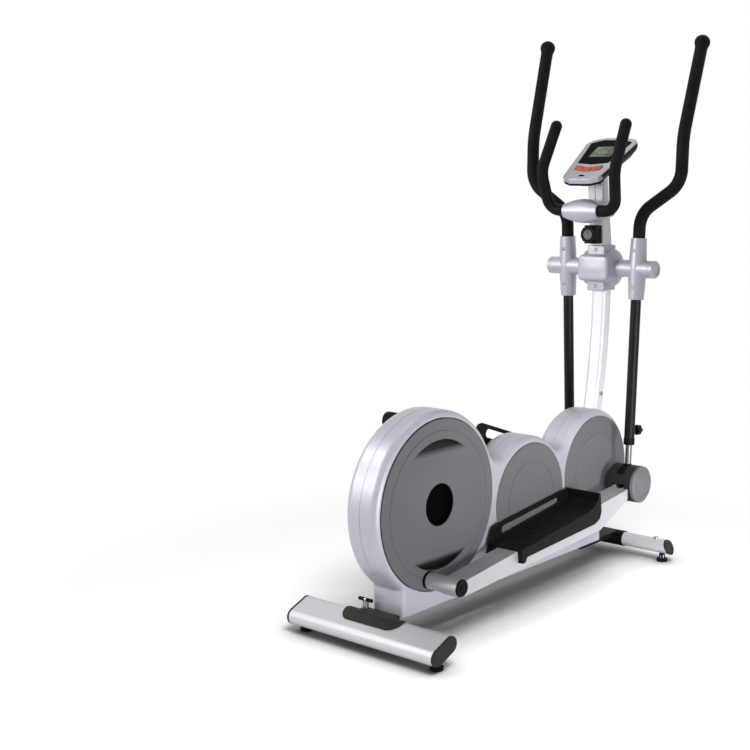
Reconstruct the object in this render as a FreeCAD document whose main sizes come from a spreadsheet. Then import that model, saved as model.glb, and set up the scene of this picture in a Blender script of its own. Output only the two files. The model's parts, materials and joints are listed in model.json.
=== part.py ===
import FreeCAD, Part
import math
import os
import types

import Sketcher
from FreeCAD import Placement, Rotation, Vector

# Cross trainer. X is the user's right, Y is forward, Z is up, and the feet stand on z = 0.
# Lengths are in millimetres and angles in degrees.
driving = {
    # crank and its housing
    "crank_y": -377, "crank_radius": 200, "crank_lead": 14.6, "disc_margin": 30, "disc_proud": 3,
    "disc_thick": 17, "disc_gap": 2.5, "disc_hole": 57, "ring_inset": 32, "crescent_inset": 55,
    "chord_inset": 93, "crescent_depth": 14, "dish_clear": 4,
    "shell_half": 54, "shell_wall": 3, "shell_round": 22, "shell_bottom": 74, "drum_clear": 22,
    "drum_rim": 21, "mid_overlap": 14, "mid_clear": 28, "mid_radius": 181, "valley_round": 55,
    "front_overlap": 20.3, "front_clear": 44, "front_radius": 187, "skirt_ahead": 45,
    "neck_behind": 155, "neck_round": 16, "cover_inset": 18, "cover_thick": 4, "cover_groove": 52,
    # frame and stabilisers
    "frame_bottom": 73, "beam_high": 50, "beam_wall": 3,
    "tongue_half": 40, "tongue_thick": 8, "rear_setback": 65, "rear_half": 247, "rear_z": 52.5,
    "rear_radius": 21.5, "rear_span": 54, "rear_tilt": 22, "tube_wall": 3, "cap_thick": 6, "cap_lip": 0.6,
    "saddle_half": 98, "saddle_back": 15, "saddle_front": 52, "saddle_skin": 4, "saddle_top": 88,
    "saddle_block": 60, "foot_inset": 26,
    "foot_setback": 18, "front_half": 221, "front_tube_z": 48.5, "front_tube_radius": 22,
    "mitre": 22, "clamp_half": 64, "clamp_lap": 90, "clamp_skin": 2.5, "clamp_tongue": 14,
    "foot_radius": 17, "foot_high": 9, "stud_radius": 5, "screw_x": -50, "screw_radius": 4,
    "screw_collar": 8, "screw_high": 111, "screw_bar": 23,
    # drive train
    "axle_radius": 12.5, "flange_radius": 80, "bearing_radius": 21, "bearing_wide": 12,
    "bracket_radius": 30, "pulley_radius": 140, "pulley_wide": 8, "pulley_clear": 1,
    "small_pulley": 22, "belt_thick": 3, "wheel_radius": 125, "wheel_clear": 4, "web_half": 8,
    "web_radius": 95, "wheel_axle": 8, "fork_thick": 4, "fork_clear": 2,
    "yoke_gap": 5, "yoke_thick": 8, "yoke_angle": -27, "yoke_sweep": 76,
    # mast and head
    "axle_setback": 80, "axle_z": 926, "mast_half": 24, "mast_deep": 42, "mast_wall": 3,
    "mast_bend": 1976, "mast_level": 26, "mast_sweep": 45, "mast_round": 9, "block_low": 71,
    "block_high": 70, "block_half": 31, "block_back": 38, "block_front": 27, "barrel_half": 46,
    "barrel_radius": 57, "barrel_end": 62, "barrel_neck": 27, "plate_half": 55, "plate_high": 40,
    "post_half": 25, "post_back": 35, "post_deep": 48, "post_lean": 18, "post_taper": 18,
    "pivot_radius": 10, "hub_radius": 27, "hub_out": 52, "axle_cap": 14,
    "knob_radius": 26, "knob_high": 104.5, "knob_deep": 12, "knob_box_deep": 38,
    "knob_box_half": 20, "knob_box_tall": 28, "fairing_half": 61, "fairing_rise": 177,
    "fairing_back": 38, "fairing_nose": 37, "fairing_mouth": 22, "horn_back": 80, "horn_radius": 17.5,
    "console_rise": 334, "console_back": 41, "console_tilt": 31, "console_half": 92, "console_foot": 66,
    "console_low": 118, "console_up": 132, "console_deep": 30, "bezel_thick": 8, "lip_back": 90,
    "lip_deep": 12, "window_half": 75, "window_foot": 56, "window_low": 24, "window_up": 118,
    "key_half": 14.5, "key_tall": 17, "key_step": 32, "key_y": -63, "key_stroke": 1,
    # swing arms
    "arm_x": 128, "sleeve_half": 94, "sleeve_mid": 28.5, "sleeve_end": 24, "arm_radius": 16,
    "arm_bore": 13, "arm_low": 262, "rod_show": 120, "collar_length": 46, "rod_radius": 10,
    "rod_inside": 80, "bar_pin": 8, "barrel_wide": 26, "arm_knob_rise": 41, "arm_knob_radius": 16,
    "handle_radius": 18.5, "ball_radius": 24, "handle_out": 135, "handle_bend": 168, "handle_rise": 92,
    "handle_knee": 400, "handle_lean": 91, "handle_top": 686,
    # pedal bars
    "bar_in": 23, "bar_out": 40, "bar_extra": 12.6, "bar_drop": 108, "bar_top": 12.5,
    "bar_low": 27.5, "heel_back": 216, "heel_drop": 100, "nose_back": 62, "nose_top": 5, "nose_drop": 36,
    "bar_wall": 3, "bush_radius": 22.5, "bush_clear": 8, "lug_thick": 8, "lug_radius": 16,
    "cover_radius": 57, "cover_wall": 3, "cover_in": 46, "cover_out": 43, "pedal_front": 233,
    "pedal_length": 400, "pedal_clear": 7, "pedal_out": 56, "pedal_floor": 5, "pedal_wall": 45,
    "pedal_heel": 33, "pedal_tab": 14, "pedal_skirt": 21, "pedal_nose": 39, "rib_margin": 22,
    "rib_step": 18, "rib_count": 19,
    # fits
    "run_gap": 0.1, "clear_gap": 0.4,
}

doc = FreeCAD.newDocument("cross_trainer")
sheet = doc.addObject("Spreadsheet::Sheet", "sizes")
for row, (alias, number) in enumerate(driving.items(), start=1):
    sheet.set(f"A{row}", alias)
    sheet.set(f"B{row}", str(number))
    sheet.setAlias(f"B{row}", alias)
doc.recompute()


# A size with the expression that ties it to the sheet
class Size:
    def __init__(self, value, text):
        self.value = value
        self.text = text

    def __add__(self, other):
        other = size(other)
        return Size(self.value + other.value, f"({self.text} + {other.text})")

    def __sub__(self, other):
        other = size(other)
        return Size(self.value - other.value, f"({self.text} - {other.text})")

    def __mul__(self, factor):
        factor = size(factor)
        return Size(self.value * factor.value, f"({self.text} * {factor.text})")

    def __truediv__(self, other):
        other = size(other)
        return Size(self.value / other.value, f"({self.text} / {other.text})")

    def __neg__(self):
        return Size(-self.value, f"(-1 * {self.text})")

    def __radd__(self, other):
        return size(other) + self

    def __rsub__(self, other):
        return size(other) - self

    def __float__(self):
        return self.value


def size(number):
    return number if isinstance(number, Size) else Size(float(number), f"({float(number)})")


def root(amount):
    return Size(math.sqrt(amount.value), f"sqrt({amount.text})")


d = types.SimpleNamespace(**{
    alias: Size(float(sheet.get(alias)), f"sizes.{alias}") for alias in driving})
parts = {}


def bind(obj, prop, amount):
    obj.setExpression(prop, size(amount).text)


def keep(label, obj, placement=None):
    obj.Label = label
    if placement:
        obj.Placement = placement
    parts[label] = obj


# Sides: +1 is the user's right and -1 the left
def span(side, near, far):
    return (size(near), size(far)) if side > 0 else (-size(far), -size(near))


def name(word, side):
    return f"{word}_right" if side > 0 else f"{word}_left"


# Sketches and their features
def new_body(label="body"):
    return doc.addObject("PartDesign::Body", label)


def new_sketch(body, role, offset):
    plane = next(item for item in body.Origin.OriginFeatures if item.Role == role)
    sketch = body.newObject("Sketcher::SketchObject", "sketch")
    sketch.AttachmentSupport = [(plane, "")]
    sketch.MapMode = "FlatFace"
    bind(sketch, "AttachmentOffset.Base.z", offset)
    return sketch


def rule(sketch, amount, kind, *where):
    index = sketch.addConstraint(Sketcher.Constraint(kind, *where, size(amount).value))
    bind(sketch, f"Constraints[{index}]", amount)


def hold(sketch, item, point, a, b):
    rule(sketch, a, "DistanceX", -1, 1, item, point)
    rule(sketch, b, "DistanceY", -1, 1, item, point)


def polygon(sketch, points):
    spots = [Vector(float(a), float(b), 0) for a, b in points]
    first = sketch.GeometryCount
    for start, end in zip(spots, spots[1:] + spots[:1]):
        sketch.addGeometry(Part.LineSegment(start, end), False)
    for index, (a, b) in enumerate(points):
        after = first + (index + 1) % len(points)
        sketch.addConstraint(Sketcher.Constraint("Coincident", first + index, 2, after, 1))
        hold(sketch, first + index, 1, a, b)


def circle(sketch, a, b, radius):
    centre = Vector(float(a), float(b), 0)
    item = sketch.addGeometry(Part.Circle(centre, Vector(0, 0, 1), float(radius)), False)
    hold(sketch, item, 3, a, b)
    rule(sketch, radius, "Radius", item)


# Two round ends joined by their outer tangents, as a belt runs
def loop(sketch, a0, b0, r0, a1, b1, r1):
    c0 = Vector(float(a0), float(b0), 0)
    c1 = Vector(float(a1), float(b1), 0)
    axis = math.atan2(c1.y - c0.y, c1.x - c0.x)
    turn = math.acos((float(r0) - float(r1)) / (c1 - c0).Length)
    up = Vector(math.cos(axis + turn), math.sin(axis + turn), 0)
    down = Vector(math.cos(axis - turn), math.sin(axis - turn), 0)
    ring0 = Part.Circle(c0, Vector(0, 0, 1), float(r0))
    ring1 = Part.Circle(c1, Vector(0, 0, 1), float(r1))
    far = axis - turn + 2 * math.pi
    first = sketch.addGeometry(Part.ArcOfCircle(ring0, axis + turn, far), False)
    sketch.addGeometry(Part.LineSegment(c0 + down * float(r0), c1 + down * float(r1)), False)
    sketch.addGeometry(Part.ArcOfCircle(ring1, axis - turn, axis + turn), False)
    sketch.addGeometry(Part.LineSegment(c1 + up * float(r1), c0 + up * float(r0)), False)
    for step in range(4):
        after = first + (step + 1) % 4
        sketch.addConstraint(Sketcher.Constraint("Tangent", first + step, 2, after, 1))
    hold(sketch, first, 3, a0, b0)
    hold(sketch, first + 2, 3, a1, b1)
    rule(sketch, r0, "Radius", first)
    rule(sketch, r1, "Radius", first + 2)


# A rectangle with round corners, the same on both sides of the middle
def rounded(sketch, half, back, front, radius):
    right = float(half - radius)
    low = float(back + radius)
    high = float(front - radius)
    reach = float(radius)
    corners = [(right, low), (right, high), (-right, high), (-right, low)]
    first = sketch.GeometryCount
    for quarter, (a, b) in enumerate(corners):
        start = (quarter - 1) * math.pi / 2
        ring = Part.Circle(Vector(a, b, 0), Vector(0, 0, 1), reach)
        sketch.addGeometry(Part.ArcOfCircle(ring, start, start + math.pi / 2), False)
        after = corners[(quarter + 1) % 4]
        out = Vector(math.cos(start + math.pi / 2), math.sin(start + math.pi / 2), 0) * reach
        sketch.addGeometry(Part.LineSegment(Vector(a, b, 0) + out, Vector(*after, 0) + out), False)
    for step in range(8):
        after = first + (step + 1) % 8
        sketch.addConstraint(Sketcher.Constraint("Tangent", first + step, 2, after, 1))
    sides = [half - radius, half - radius, radius - half, radius - half]
    ends = [back + radius, front - radius, front - radius, back + radius]
    for quarter in range(4):
        hold(sketch, first + quarter * 2, 3, sides[quarter], ends[quarter])
        rule(sketch, radius, "Radius", first + quarter * 2)


def extrude(body, sketch, length):
    feature = body.newObject("PartDesign::Pad", "pad")
    feature.Profile = sketch
    bind(feature, "Length", length)
    body.Tip = feature
    return feature


def carve(body, sketch, length):
    doc.recompute()
    before = body.Shape.Volume
    feature = body.newObject("PartDesign::Pocket", "pocket")
    feature.Profile = sketch
    feature.Reversed = True
    bind(feature, "Length", length)
    body.Tip = feature
    doc.recompute()
    if body.Shape.Volume > before - 1:
        raise RuntimeError(f"{body.Name}: a pocket cuts nothing")
    return feature


# A side profile between two planes across X, added or cut away
def slab(body, near, far, draw):
    sketch = new_sketch(body, "YZ_Plane", near)
    draw(sketch)
    return extrude(body, sketch, size(far) - near)


def slot(body, near, far, draw):
    sketch = new_sketch(body, "YZ_Plane", near)
    draw(sketch)
    return carve(body, sketch, size(far) - near)


def edges(feature, test):
    doc.recompute()
    return [f"Edge{index}" for index, edge in enumerate(feature.Shape.Edges, start=1) if test(edge)]


def soften(body, feature, names, radius, kind="PartDesign::Fillet"):
    rounding = body.newObject(kind, "rounding")
    rounding.Base = (feature, names)
    bind(rounding, "Radius" if kind.endswith("Fillet") else "Size", radius)
    body.Tip = rounding
    return rounding


def along(edge, axis):
    if not isinstance(edge.Curve, (Part.Line, Part.LineSegment)):
        return False
    return abs(edge.tangentAt(edge.FirstParameter).dot(axis)) > 0.999


# A level sketch spun about the line through y that runs along X
def spin(body, sketch, y, angle, downward):
    axis = sketch.addGeometry(Part.LineSegment(
        Vector(0, float(y), 0), Vector(100, float(y), 0)), True)
    hold(sketch, axis, 1, 0, y)
    hold(sketch, axis, 2, 100, y)
    feature = body.newObject("PartDesign::Revolution", "spin")
    feature.Profile = sketch
    feature.ReferenceAxis = (sketch, ["Axis0"])
    bind(feature, "Angle", angle)
    feature.Reversed = downward
    body.Tip = feature


# A turned piece: (x, radius) points spun about the line through y, z
def turned(label, points, y, z):
    body = new_body(label)
    sketch = new_sketch(body, "XY_Plane", z)
    polygon(sketch, [(x, size(y) + radius) for x, radius in points])
    spin(body, sketch, y, 360, False)
    return body


# Plain stock
def stock(kind, rotation, spot, **sizes):
    obj = doc.addObject(kind, "stock")
    obj.Placement = Placement(Vector(0, 0, 0), rotation)
    for letter, amount in zip("xyz", spot):
        bind(obj, f"Placement.Base.{letter}", amount)
    for prop, amount in sizes.items():
        bind(obj, prop, amount)
    return obj


across = Rotation(Vector(0, 1, 0), 90)
forward = Rotation(Vector(1, 0, 0), -90)
upright = Rotation()


def rod(radius, near, far, y, z):
    return stock("Part::Cylinder", across, (near, y, z), Radius=radius, Height=size(far) - near)


def spindle(radius, x, back, front, z):
    return stock("Part::Cylinder", forward, (x, back, z), Radius=radius, Height=size(front) - back)


def post(radius, x, y, low, high):
    return stock("Part::Cylinder", upright, (x, y, low), Radius=radius, Height=size(high) - low)


def cone(low_radius, high_radius, x, y, low, high):
    return stock("Part::Cone", upright, (x, y, low), Radius1=low_radius, Radius2=high_radius,
                 Height=size(high) - low)


def block(left, right, back, front, low, high):
    return stock("Part::Box", upright, (left, back, low), Length=size(right) - left,
                 Width=size(front) - back, Height=size(high) - low)


def fuse(*pieces):
    joined = doc.addObject("Part::MultiFuse", "joined")
    joined.Shapes = list(pieces)
    joined.Refine = True
    return joined


def cut(piece, *tools):
    for tool in tools:
        remainder = doc.addObject("Part::Cut", "cut")
        remainder.Base = piece
        remainder.Tool = tool
        piece = remainder
    return piece


def common(piece, tool):
    shared = doc.addObject("Part::Common", "shared")
    shared.Base = piece
    shared.Tool = tool
    return shared


def group(pieces):
    together = doc.addObject("Part::Compound", "group")
    together.Links = list(pieces)
    return together


# A tube along straight runs joined by tangent arcs
def bent_tube(radius, spots, bends):
    pieces = []
    start = spots[0]
    for before, corner, after, bend in zip(spots, spots[1:], spots[2:], bends):
        into = (corner - before).normalize()
        out = (after - corner).normalize()
        half = into.getAngle(out) / 2
        reach = bend * math.tan(half)
        enter = corner - into * reach
        leave = corner + out * reach
        inward = (out - into).normalize()
        middle = corner + inward * (bend / math.cos(half) - bend)
        pieces.append(Part.LineSegment(start, enter).toShape())
        pieces.append(Part.Arc(enter, middle, leave).toShape())
        start = leave
    pieces.append(Part.LineSegment(start, spots[-1]).toShape())
    path = doc.addObject("Part::Feature", "path")
    path.Shape = Part.Wire(pieces)
    ring = doc.addObject("Part::Circle", "ring")
    bind(ring, "Radius", radius)
    ring.Placement = Placement(spots[0], Rotation(Vector(0, 0, 1), spots[1] - spots[0]))
    sweep = doc.addObject("Part::Sweep", "sweep")
    sweep.Sections = [ring]
    sweep.Spine = (path, [f"Edge{index}" for index in range(1, len(pieces) + 1)])
    sweep.Solid = True
    sweep.Frenet = False
    doc.recompute()
    expected = math.pi * float(radius) ** 2 * path.Shape.Length
    if abs(sweep.Shape.Volume / expected - 1) > 0.02:
        raise RuntimeError("a bent tube has lost its section")
    return sweep


# Places that several pieces share
disc_radius = d.crank_radius + d.disc_margin
drum_radius = disc_radius + d.drum_rim
crank = (d.crank_y, d.shell_bottom + d.drum_clear + drum_radius)
mid_z = d.shell_bottom + d.mid_clear + d.mid_radius
front_z = d.shell_bottom + d.front_clear + d.front_radius


# How far one lobe stands ahead of the next, so that their rounds overlap by a set amount
def lobe_step(near_radius, far_radius, overlap, rise):
    reach = near_radius + far_radius - overlap
    return root(reach * reach - rise * rise)


mid = (crank[0] + lobe_step(drum_radius, d.mid_radius, d.mid_overlap, crank[1] - mid_z), mid_z)
front = (mid[0] + lobe_step(d.mid_radius, d.front_radius, d.front_overlap, front_z - mid_z), front_z)
front_end = front[0] + d.front_radius
skirt_end = front[0] + d.skirt_ahead
neck_y = crank[0] - d.neck_behind
rear_y = neck_y - d.rear_setback
front_y = front_end - d.foot_setback
axle = (front_end - d.axle_setback, d.axle_z)
beam_top = d.frame_bottom + d.beam_high

# Widths, from the housing's side inward and outward
disc_face = d.shell_half + d.disc_proud
disc_back = disc_face - d.disc_thick
dish_face = disc_back - d.dish_clear
pulley_far = dish_face - d.shell_wall - d.pulley_clear
pulley_near = pulley_far - d.pulley_wide
beam_half = pulley_far
bracket_half = pulley_near - d.fork_clear
fork_far = bracket_half
fork_near = fork_far - d.fork_thick
wheel_half = fork_near - d.wheel_clear
bush_inner = disc_face + d.bush_clear
pedal_inner = disc_face + d.pedal_clear
bar_inner = d.arm_x - d.bar_in
bar_outer = d.arm_x + d.bar_out
cover_inner = d.arm_x - d.cover_in
cover_outer = d.arm_x + d.cover_out
pedal_outer = d.arm_x + d.pedal_out
hub_end = d.arm_x + d.hub_out

# Lengths of the swing arms and the bars
arm_drop = axle[1] - d.arm_low
arm_length = arm_drop - d.rod_show
bar_reach = axle[0] - crank[0] + d.bar_extra

# The linkage at rest: pins opposite each other, bars of one length, arms of one length
lead = math.radians(d.crank_lead.value)
bar_length = math.hypot(bar_reach.value, d.bar_drop.value)
pins = {}
pivots = {}
swings = {}
tilts = {}
for side in (1, -1):
    pin_y = d.crank_y.value - side * d.crank_radius.value * math.sin(lead)
    pin_z = crank[1].value - side * d.crank_radius.value * math.cos(lead)
    gap_y = axle[0].value - pin_y
    gap_z = axle[1].value - pin_z
    distance = math.hypot(gap_y, gap_z)
    share = (bar_length ** 2 - arm_drop.value ** 2 + distance ** 2) / (2 * distance)
    rise = math.sqrt(bar_length ** 2 - share ** 2)
    pivot_y = pin_y + (share * gap_y + rise * gap_z) / distance
    pivot_z = pin_z + (share * gap_z - rise * gap_y) / distance
    pins[side] = (pin_y, pin_z)
    pivots[side] = (pivot_y, pivot_z)
    swings[side] = math.degrees(math.atan2(pivot_y - axle[0].value, axle[1].value - pivot_z))
    slope = math.atan2(pin_z - pivot_z, pivot_y - pin_y)
    level = math.atan2(-d.bar_drop.value, bar_reach.value)
    tilts[side] = math.degrees(level - slope)


def on_arm(side):
    spot = Vector(0, axle[0].value, axle[1].value)
    return Placement(spot, Rotation(Vector(1, 0, 0), swings[side]))


def on_bar(side):
    return Placement(Vector(0, *pivots[side]), Rotation(Vector(1, 0, 0), tilts[side]))


# Rear stabiliser: an oval tube tilted up at the front, with plugged ends
def oval(near, far, extra):
    body = new_body()
    tilt = math.radians(d.rear_tilt.value)
    ahead = d.rear_span * (0.5 * math.cos(tilt))
    rise = d.rear_span * (0.5 * math.sin(tilt))
    radius = d.rear_radius + extra
    slab(body, near, far, lambda sk: loop(
        sk, rear_y - ahead, d.rear_z - rise, radius, rear_y + ahead, d.rear_z + rise, radius))
    return body


def foot_hole(x, y):
    return post(d.stud_radius + d.clear_gap, x, y, 0, d.rear_z)


rear_foot = d.rear_half - d.foot_inset + d.cap_thick
front_foot = d.front_half - d.foot_inset + d.cap_thick
rear_tube = cut(oval(-d.rear_half, d.rear_half, 0),
                oval(-d.rear_half - 1, d.rear_half + 1, -d.tube_wall),
                foot_hole(rear_foot, rear_y), foot_hole(-rear_foot, rear_y))
keep("rear_stabilizer", rear_tube)


# Front stabiliser: a round tube whose ends lean outward at the foot
def mitre_plate(side, thick):
    turn = -d.mitre.value if side > 0 else 180 + d.mitre.value
    plate = doc.addObject("Part::Box", "mitre")
    bind(plate, "Length", thick)
    plate.Width = 200
    plate.Height = 200
    spot = Vector(side * d.front_half.value, front_y.value, d.front_tube_z.value)
    corner = Placement(Vector(0, -100, -100), Rotation())
    plate.Placement = Placement(spot, Rotation(Vector(0, 1, 0), turn)) * corner
    return plate


def front_rod(radius):
    reach = d.front_half + 60
    return rod(radius, -reach, reach, front_y, d.front_tube_z)


front_tube = cut(front_rod(d.front_tube_radius), front_rod(d.front_tube_radius - d.tube_wall),
                 mitre_plate(1, 200), mitre_plate(-1, 200),
                 foot_hole(front_foot, front_y), foot_hole(-front_foot, front_y))
keep("front_stabilizer", front_tube)

caps = []
for side in (1, -1):
    caps.append(oval(*span(side, d.rear_half, d.rear_half + d.cap_thick), d.cap_lip))
    caps.append(common(front_rod(d.front_tube_radius + d.cap_lip), mitre_plate(side, d.cap_thick)))
keep("stabilizer_caps", group(caps))

# Levelling feet: a pad, a collar and a stud that runs up into the tube
for word, x, y, tube_low in (("rear", rear_foot, rear_y, d.rear_z - d.rear_radius - 6.5),
                             ("front", front_foot, front_y, d.front_tube_z - d.front_tube_radius)):
    for side in (1, -1):
        spot = x if side > 0 else -x
        pad_body = post(d.foot_radius, spot, y, 1.5, d.foot_high)
        sole = cone(d.foot_radius - 1.5, d.foot_radius, spot, y, 0, 1.5)
        collar = post(d.stud_radius + 4, spot, y, d.foot_high, tube_low - 1)
        stud = post(d.stud_radius, spot, y, d.foot_high, tube_low + d.tube_wall + 8)
        keep(name(f"{word}_foot", side), fuse(sole, pad_body, collar, stud))

# Saddle: a pad that follows the oval tube and a block that carries the frame, with a hand screw
screw_y = rear_y + d.saddle_front - 9
saddle_body = new_body()
sketch = new_sketch(saddle_body, "XY_Plane", d.rear_z)
saddle_round = (d.saddle_front + d.saddle_back) * 0.5
saddle_y = rear_y + (d.saddle_front - d.saddle_back) * 0.5
loop(sketch, -d.saddle_half + saddle_round, saddle_y, saddle_round,
     d.saddle_half - saddle_round, saddle_y, saddle_round)
extrude(saddle_body, sketch, d.saddle_top - d.rear_z)
pad = common(saddle_body, oval(-d.rear_half, d.rear_half, d.saddle_skin))
rest = block(-d.saddle_block, d.saddle_block, rear_y + d.saddle_back, rear_y + d.saddle_front,
             d.rear_z, d.saddle_top)
screw_low = d.saddle_top - 8
screw_hole = post(d.screw_radius + d.clear_gap, d.screw_x, screw_y, screw_low - 1, d.saddle_top + 5)
keep("rear_saddle", cut(fuse(pad, rest), oval(-d.rear_half, d.rear_half, 0), screw_hole))

screw = fuse(post(d.screw_radius, d.screw_x, screw_y, screw_low, d.screw_high),
             post(d.screw_collar, d.screw_x, screw_y, d.saddle_top + d.clear_gap, d.screw_high - 6),
             rod(d.screw_radius, d.screw_x - d.screw_bar, d.screw_x + d.screw_bar,
                 screw_y, d.screw_high))
keep("hand_screw", screw)

# Front clamp: a sleeve round the tube on a tongue that lies under the frame beam
beam_rear = neck_y + d.shell_wall + 4
beam_front = skirt_end - d.shell_wall - 4
clamp_sleeve = rod(d.front_tube_radius + d.clamp_skin, -d.clamp_half, d.clamp_half,
                   front_y, d.front_tube_z)
clamp_tongue = block(-d.tongue_half, d.tongue_half, beam_front - d.clamp_lap, front_y,
                     d.frame_bottom - d.clamp_tongue, d.frame_bottom)
keep("front_clamp", cut(fuse(clamp_sleeve, clamp_tongue), front_rod(d.front_tube_radius + d.clear_gap)))

# Main frame: a box beam with the crank bracket, the flywheel fork and the brake lug
beam = block(-beam_half, beam_half, beam_rear, beam_front, d.frame_bottom, beam_top)
beam_bore = block(-beam_half + d.beam_wall, beam_half - d.beam_wall, beam_rear - 1,
                  beam_front + 1, d.frame_bottom + d.beam_wall, beam_top - d.beam_wall)
tongue = block(-d.tongue_half, d.tongue_half, rear_y + d.saddle_front, neck_y + 60,
               d.frame_bottom, d.frame_bottom + d.tongue_thick)
bracket_post = block(-20, 20, crank[0] - 20, crank[0] + 20, beam_top, crank[1])
bracket = rod(d.bracket_radius, -bracket_half, bracket_half, *crank)
bracket_bore = rod(d.bearing_radius, -bracket_half - 1, bracket_half + 1, *crank)
forks = []
for side in (1, -1):
    near, far = span(side, fork_near, fork_far)
    forks.append(block(near, far, mid[0] - 20, mid[0] + 20, beam_top, mid[1]))
    forks.append(rod(20, near, far, *mid))
fork_bore = rod(d.wheel_axle + d.run_gap, -fork_far - 1, fork_far + 1, *mid)
yoke_turn = math.radians(d.yoke_angle.value)
yoke_low = d.wheel_radius + d.yoke_gap
yoke_ring = yoke_low + d.yoke_thick + 3
yoke_pivot = (mid[0] + yoke_ring * math.cos(yoke_turn), mid[1] + yoke_ring * math.sin(yoke_turn))
lug = fuse(block(-8, 8, yoke_pivot[0] - 8, yoke_pivot[0] + 8, beam_top, yoke_pivot[1]),
           rod(8, -8, 8, *yoke_pivot))
lug_bore = rod(4 + d.run_gap, -9, 9, *yoke_pivot)
frame = fuse(cut(beam, beam_bore), tongue, bracket_post, bracket, lug, *forks)
keep("main_frame", cut(frame, bracket_bore, fork_bore, lug_bore))


# Housing: three round lobes on a narrow skirt, moulded in two halves
def lobes(side, inset, low):
    body = new_body()
    near, far = span(side, 0, d.shell_half - inset)
    rear = neck_y + inset
    toe = skirt_end - inset
    outline = [(rear, low), (toe, low), (toe, front[1]), front, mid, crank, (rear, crank[1] - 100)]
    slab(body, near, far, lambda sk: polygon(sk, outline))
    slab(body, near, far, lambda sk: circle(sk, *crank, drum_radius - inset))
    slab(body, near, far, lambda sk: circle(sk, *mid, d.mid_radius - inset))
    last = slab(body, near, far, lambda sk: circle(sk, *front, d.front_radius - inset))
    doc.recompute()

    def valley(a, ra, b, rb):
        gap = math.hypot(b[0].value - a[0].value, b[1].value - a[1].value)
        reach = (gap ** 2 + ra ** 2 - rb ** 2) / (2 * gap)
        rise = math.sqrt(ra ** 2 - reach ** 2)
        uy = (b[0].value - a[0].value) / gap
        uz = (b[1].value - a[1].value) / gap
        return a[0].value + reach * uy - rise * uz, a[1].value + reach * uz + rise * uy

    drum = (drum_radius - inset).value
    middle = (d.mid_radius - inset).value
    ahead = (d.front_radius - inset).value
    neck_drop = math.sqrt(drum ** 2 - (crank[0].value - rear.value) ** 2)
    corners = [valley(crank, drum, mid, middle), valley(mid, middle, front, ahead)]
    toe_drop = math.sqrt(ahead ** 2 - (toe.value - front[0].value) ** 2)
    skirt_corners = [(rear.value, crank[1].value - neck_drop), (toe.value, front[1].value - toe_drop)]

    def beside(spots):
        def test(edge):
            if not along(edge, Vector(1, 0, 0)):
                return False
            here = edge.CenterOfMass
            return any(math.hypot(here.y - y, here.z - z) < 1 for y, z in spots)
        return test

    last = soften(body, last, edges(last, beside(corners)), d.valley_round + inset)
    last = soften(body, last, edges(last, beside(skirt_corners)), d.neck_round + inset)
    face = far.value if side > 0 else near.value

    def rim(edge):
        box = edge.BoundBox
        flat = abs(box.XMin - face) < 0.01 and abs(box.XMax - face) < 0.01
        return flat and box.ZMax > low.value + 1

    soften(body, last, edges(last, rim), d.shell_round - inset)
    return body


# The mast follows a wide arc that is upright just under the swing axle
block_bottom = axle[1] - d.block_low
block_top = axle[1] + d.block_high


def mast_stock(extra, low, high):
    body = new_body()
    sketch = new_sketch(body, "XY_Plane", axle[1] - d.mast_level)
    half = d.mast_half + extra
    reach = d.mast_deep * 0.5 + extra
    rounded(sketch, half, axle[0] - reach, axle[0] + reach, d.mast_round + extra)
    spin(body, sketch, axle[0] - d.mast_bend, d.mast_sweep, True)
    return common(body, block(-half - 1, half + 1, crank[0], axle[0] + 200, low, high))


hump_z = front[1] + d.front_radius
for side in (1, -1):
    recess = rod(disc_radius + d.disc_gap, *span(side, dish_face, d.shell_half + 5), *crank)
    dish = rod(disc_radius + d.disc_gap + 5, *span(side, dish_face - d.shell_wall,
                                                    d.shell_half + 5), *crank)
    outside = cut(lobes(side, size(0), d.shell_bottom), recess)
    inside = cut(lobes(side, d.shell_wall, d.shell_bottom - 5), dish)
    shaft_hole = rod(d.axle_radius + 1.5, *span(side, 20, d.shell_half), *crank)
    mast_hole = mast_stock(size(1), hump_z - 120, hump_z + 20)
    tongue_hole = block(-d.tongue_half - d.clear_gap, d.tongue_half + d.clear_gap, neck_y - 5,
                        neck_y + d.shell_wall + 2, d.shell_bottom - 10,
                        d.frame_bottom + d.tongue_thick + d.clear_gap)
    keep(name("housing", side), cut(outside, inside, shaft_hole, mast_hole, tongue_hole))


# Side covers: round plates with a softened rim and a ring groove
def cover(side, centre, radius):
    body = new_body()
    near, far = span(side, d.shell_half, d.shell_half + d.cover_thick)
    plate = slab(body, near, far, lambda sk: circle(sk, *centre, radius))
    face = far if side > 0 else near
    rim = edges(plate, lambda edge: abs(edge.CenterOfMass.x - face.value) < 0.01)
    soften(body, plate, rim, d.cover_thick * 0.5, "PartDesign::Chamfer")
    depth = d.cover_thick * 0.3
    groove = span(side, d.shell_half + d.cover_thick - depth, d.shell_half + d.cover_thick)

    def ring(sk):
        circle(sk, *centre, radius - d.cover_groove)
        circle(sk, *centre, radius - d.cover_groove - 3)

    slot(body, *groove, ring)
    return body


keep("mid_covers", group([cover(side, mid, d.mid_radius - d.cover_inset) for side in (1, -1)]))
keep("front_covers", group([cover(side, front, d.front_radius - d.cover_inset) for side in (1, -1)]))


# Crank: discs with two scooped crescents, hub caps, flanged axle and belt pulley
crescent_radius = disc_radius - d.crescent_inset
crescent_chord = disc_radius - d.chord_inset
ring_radius = disc_radius - d.ring_inset


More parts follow.
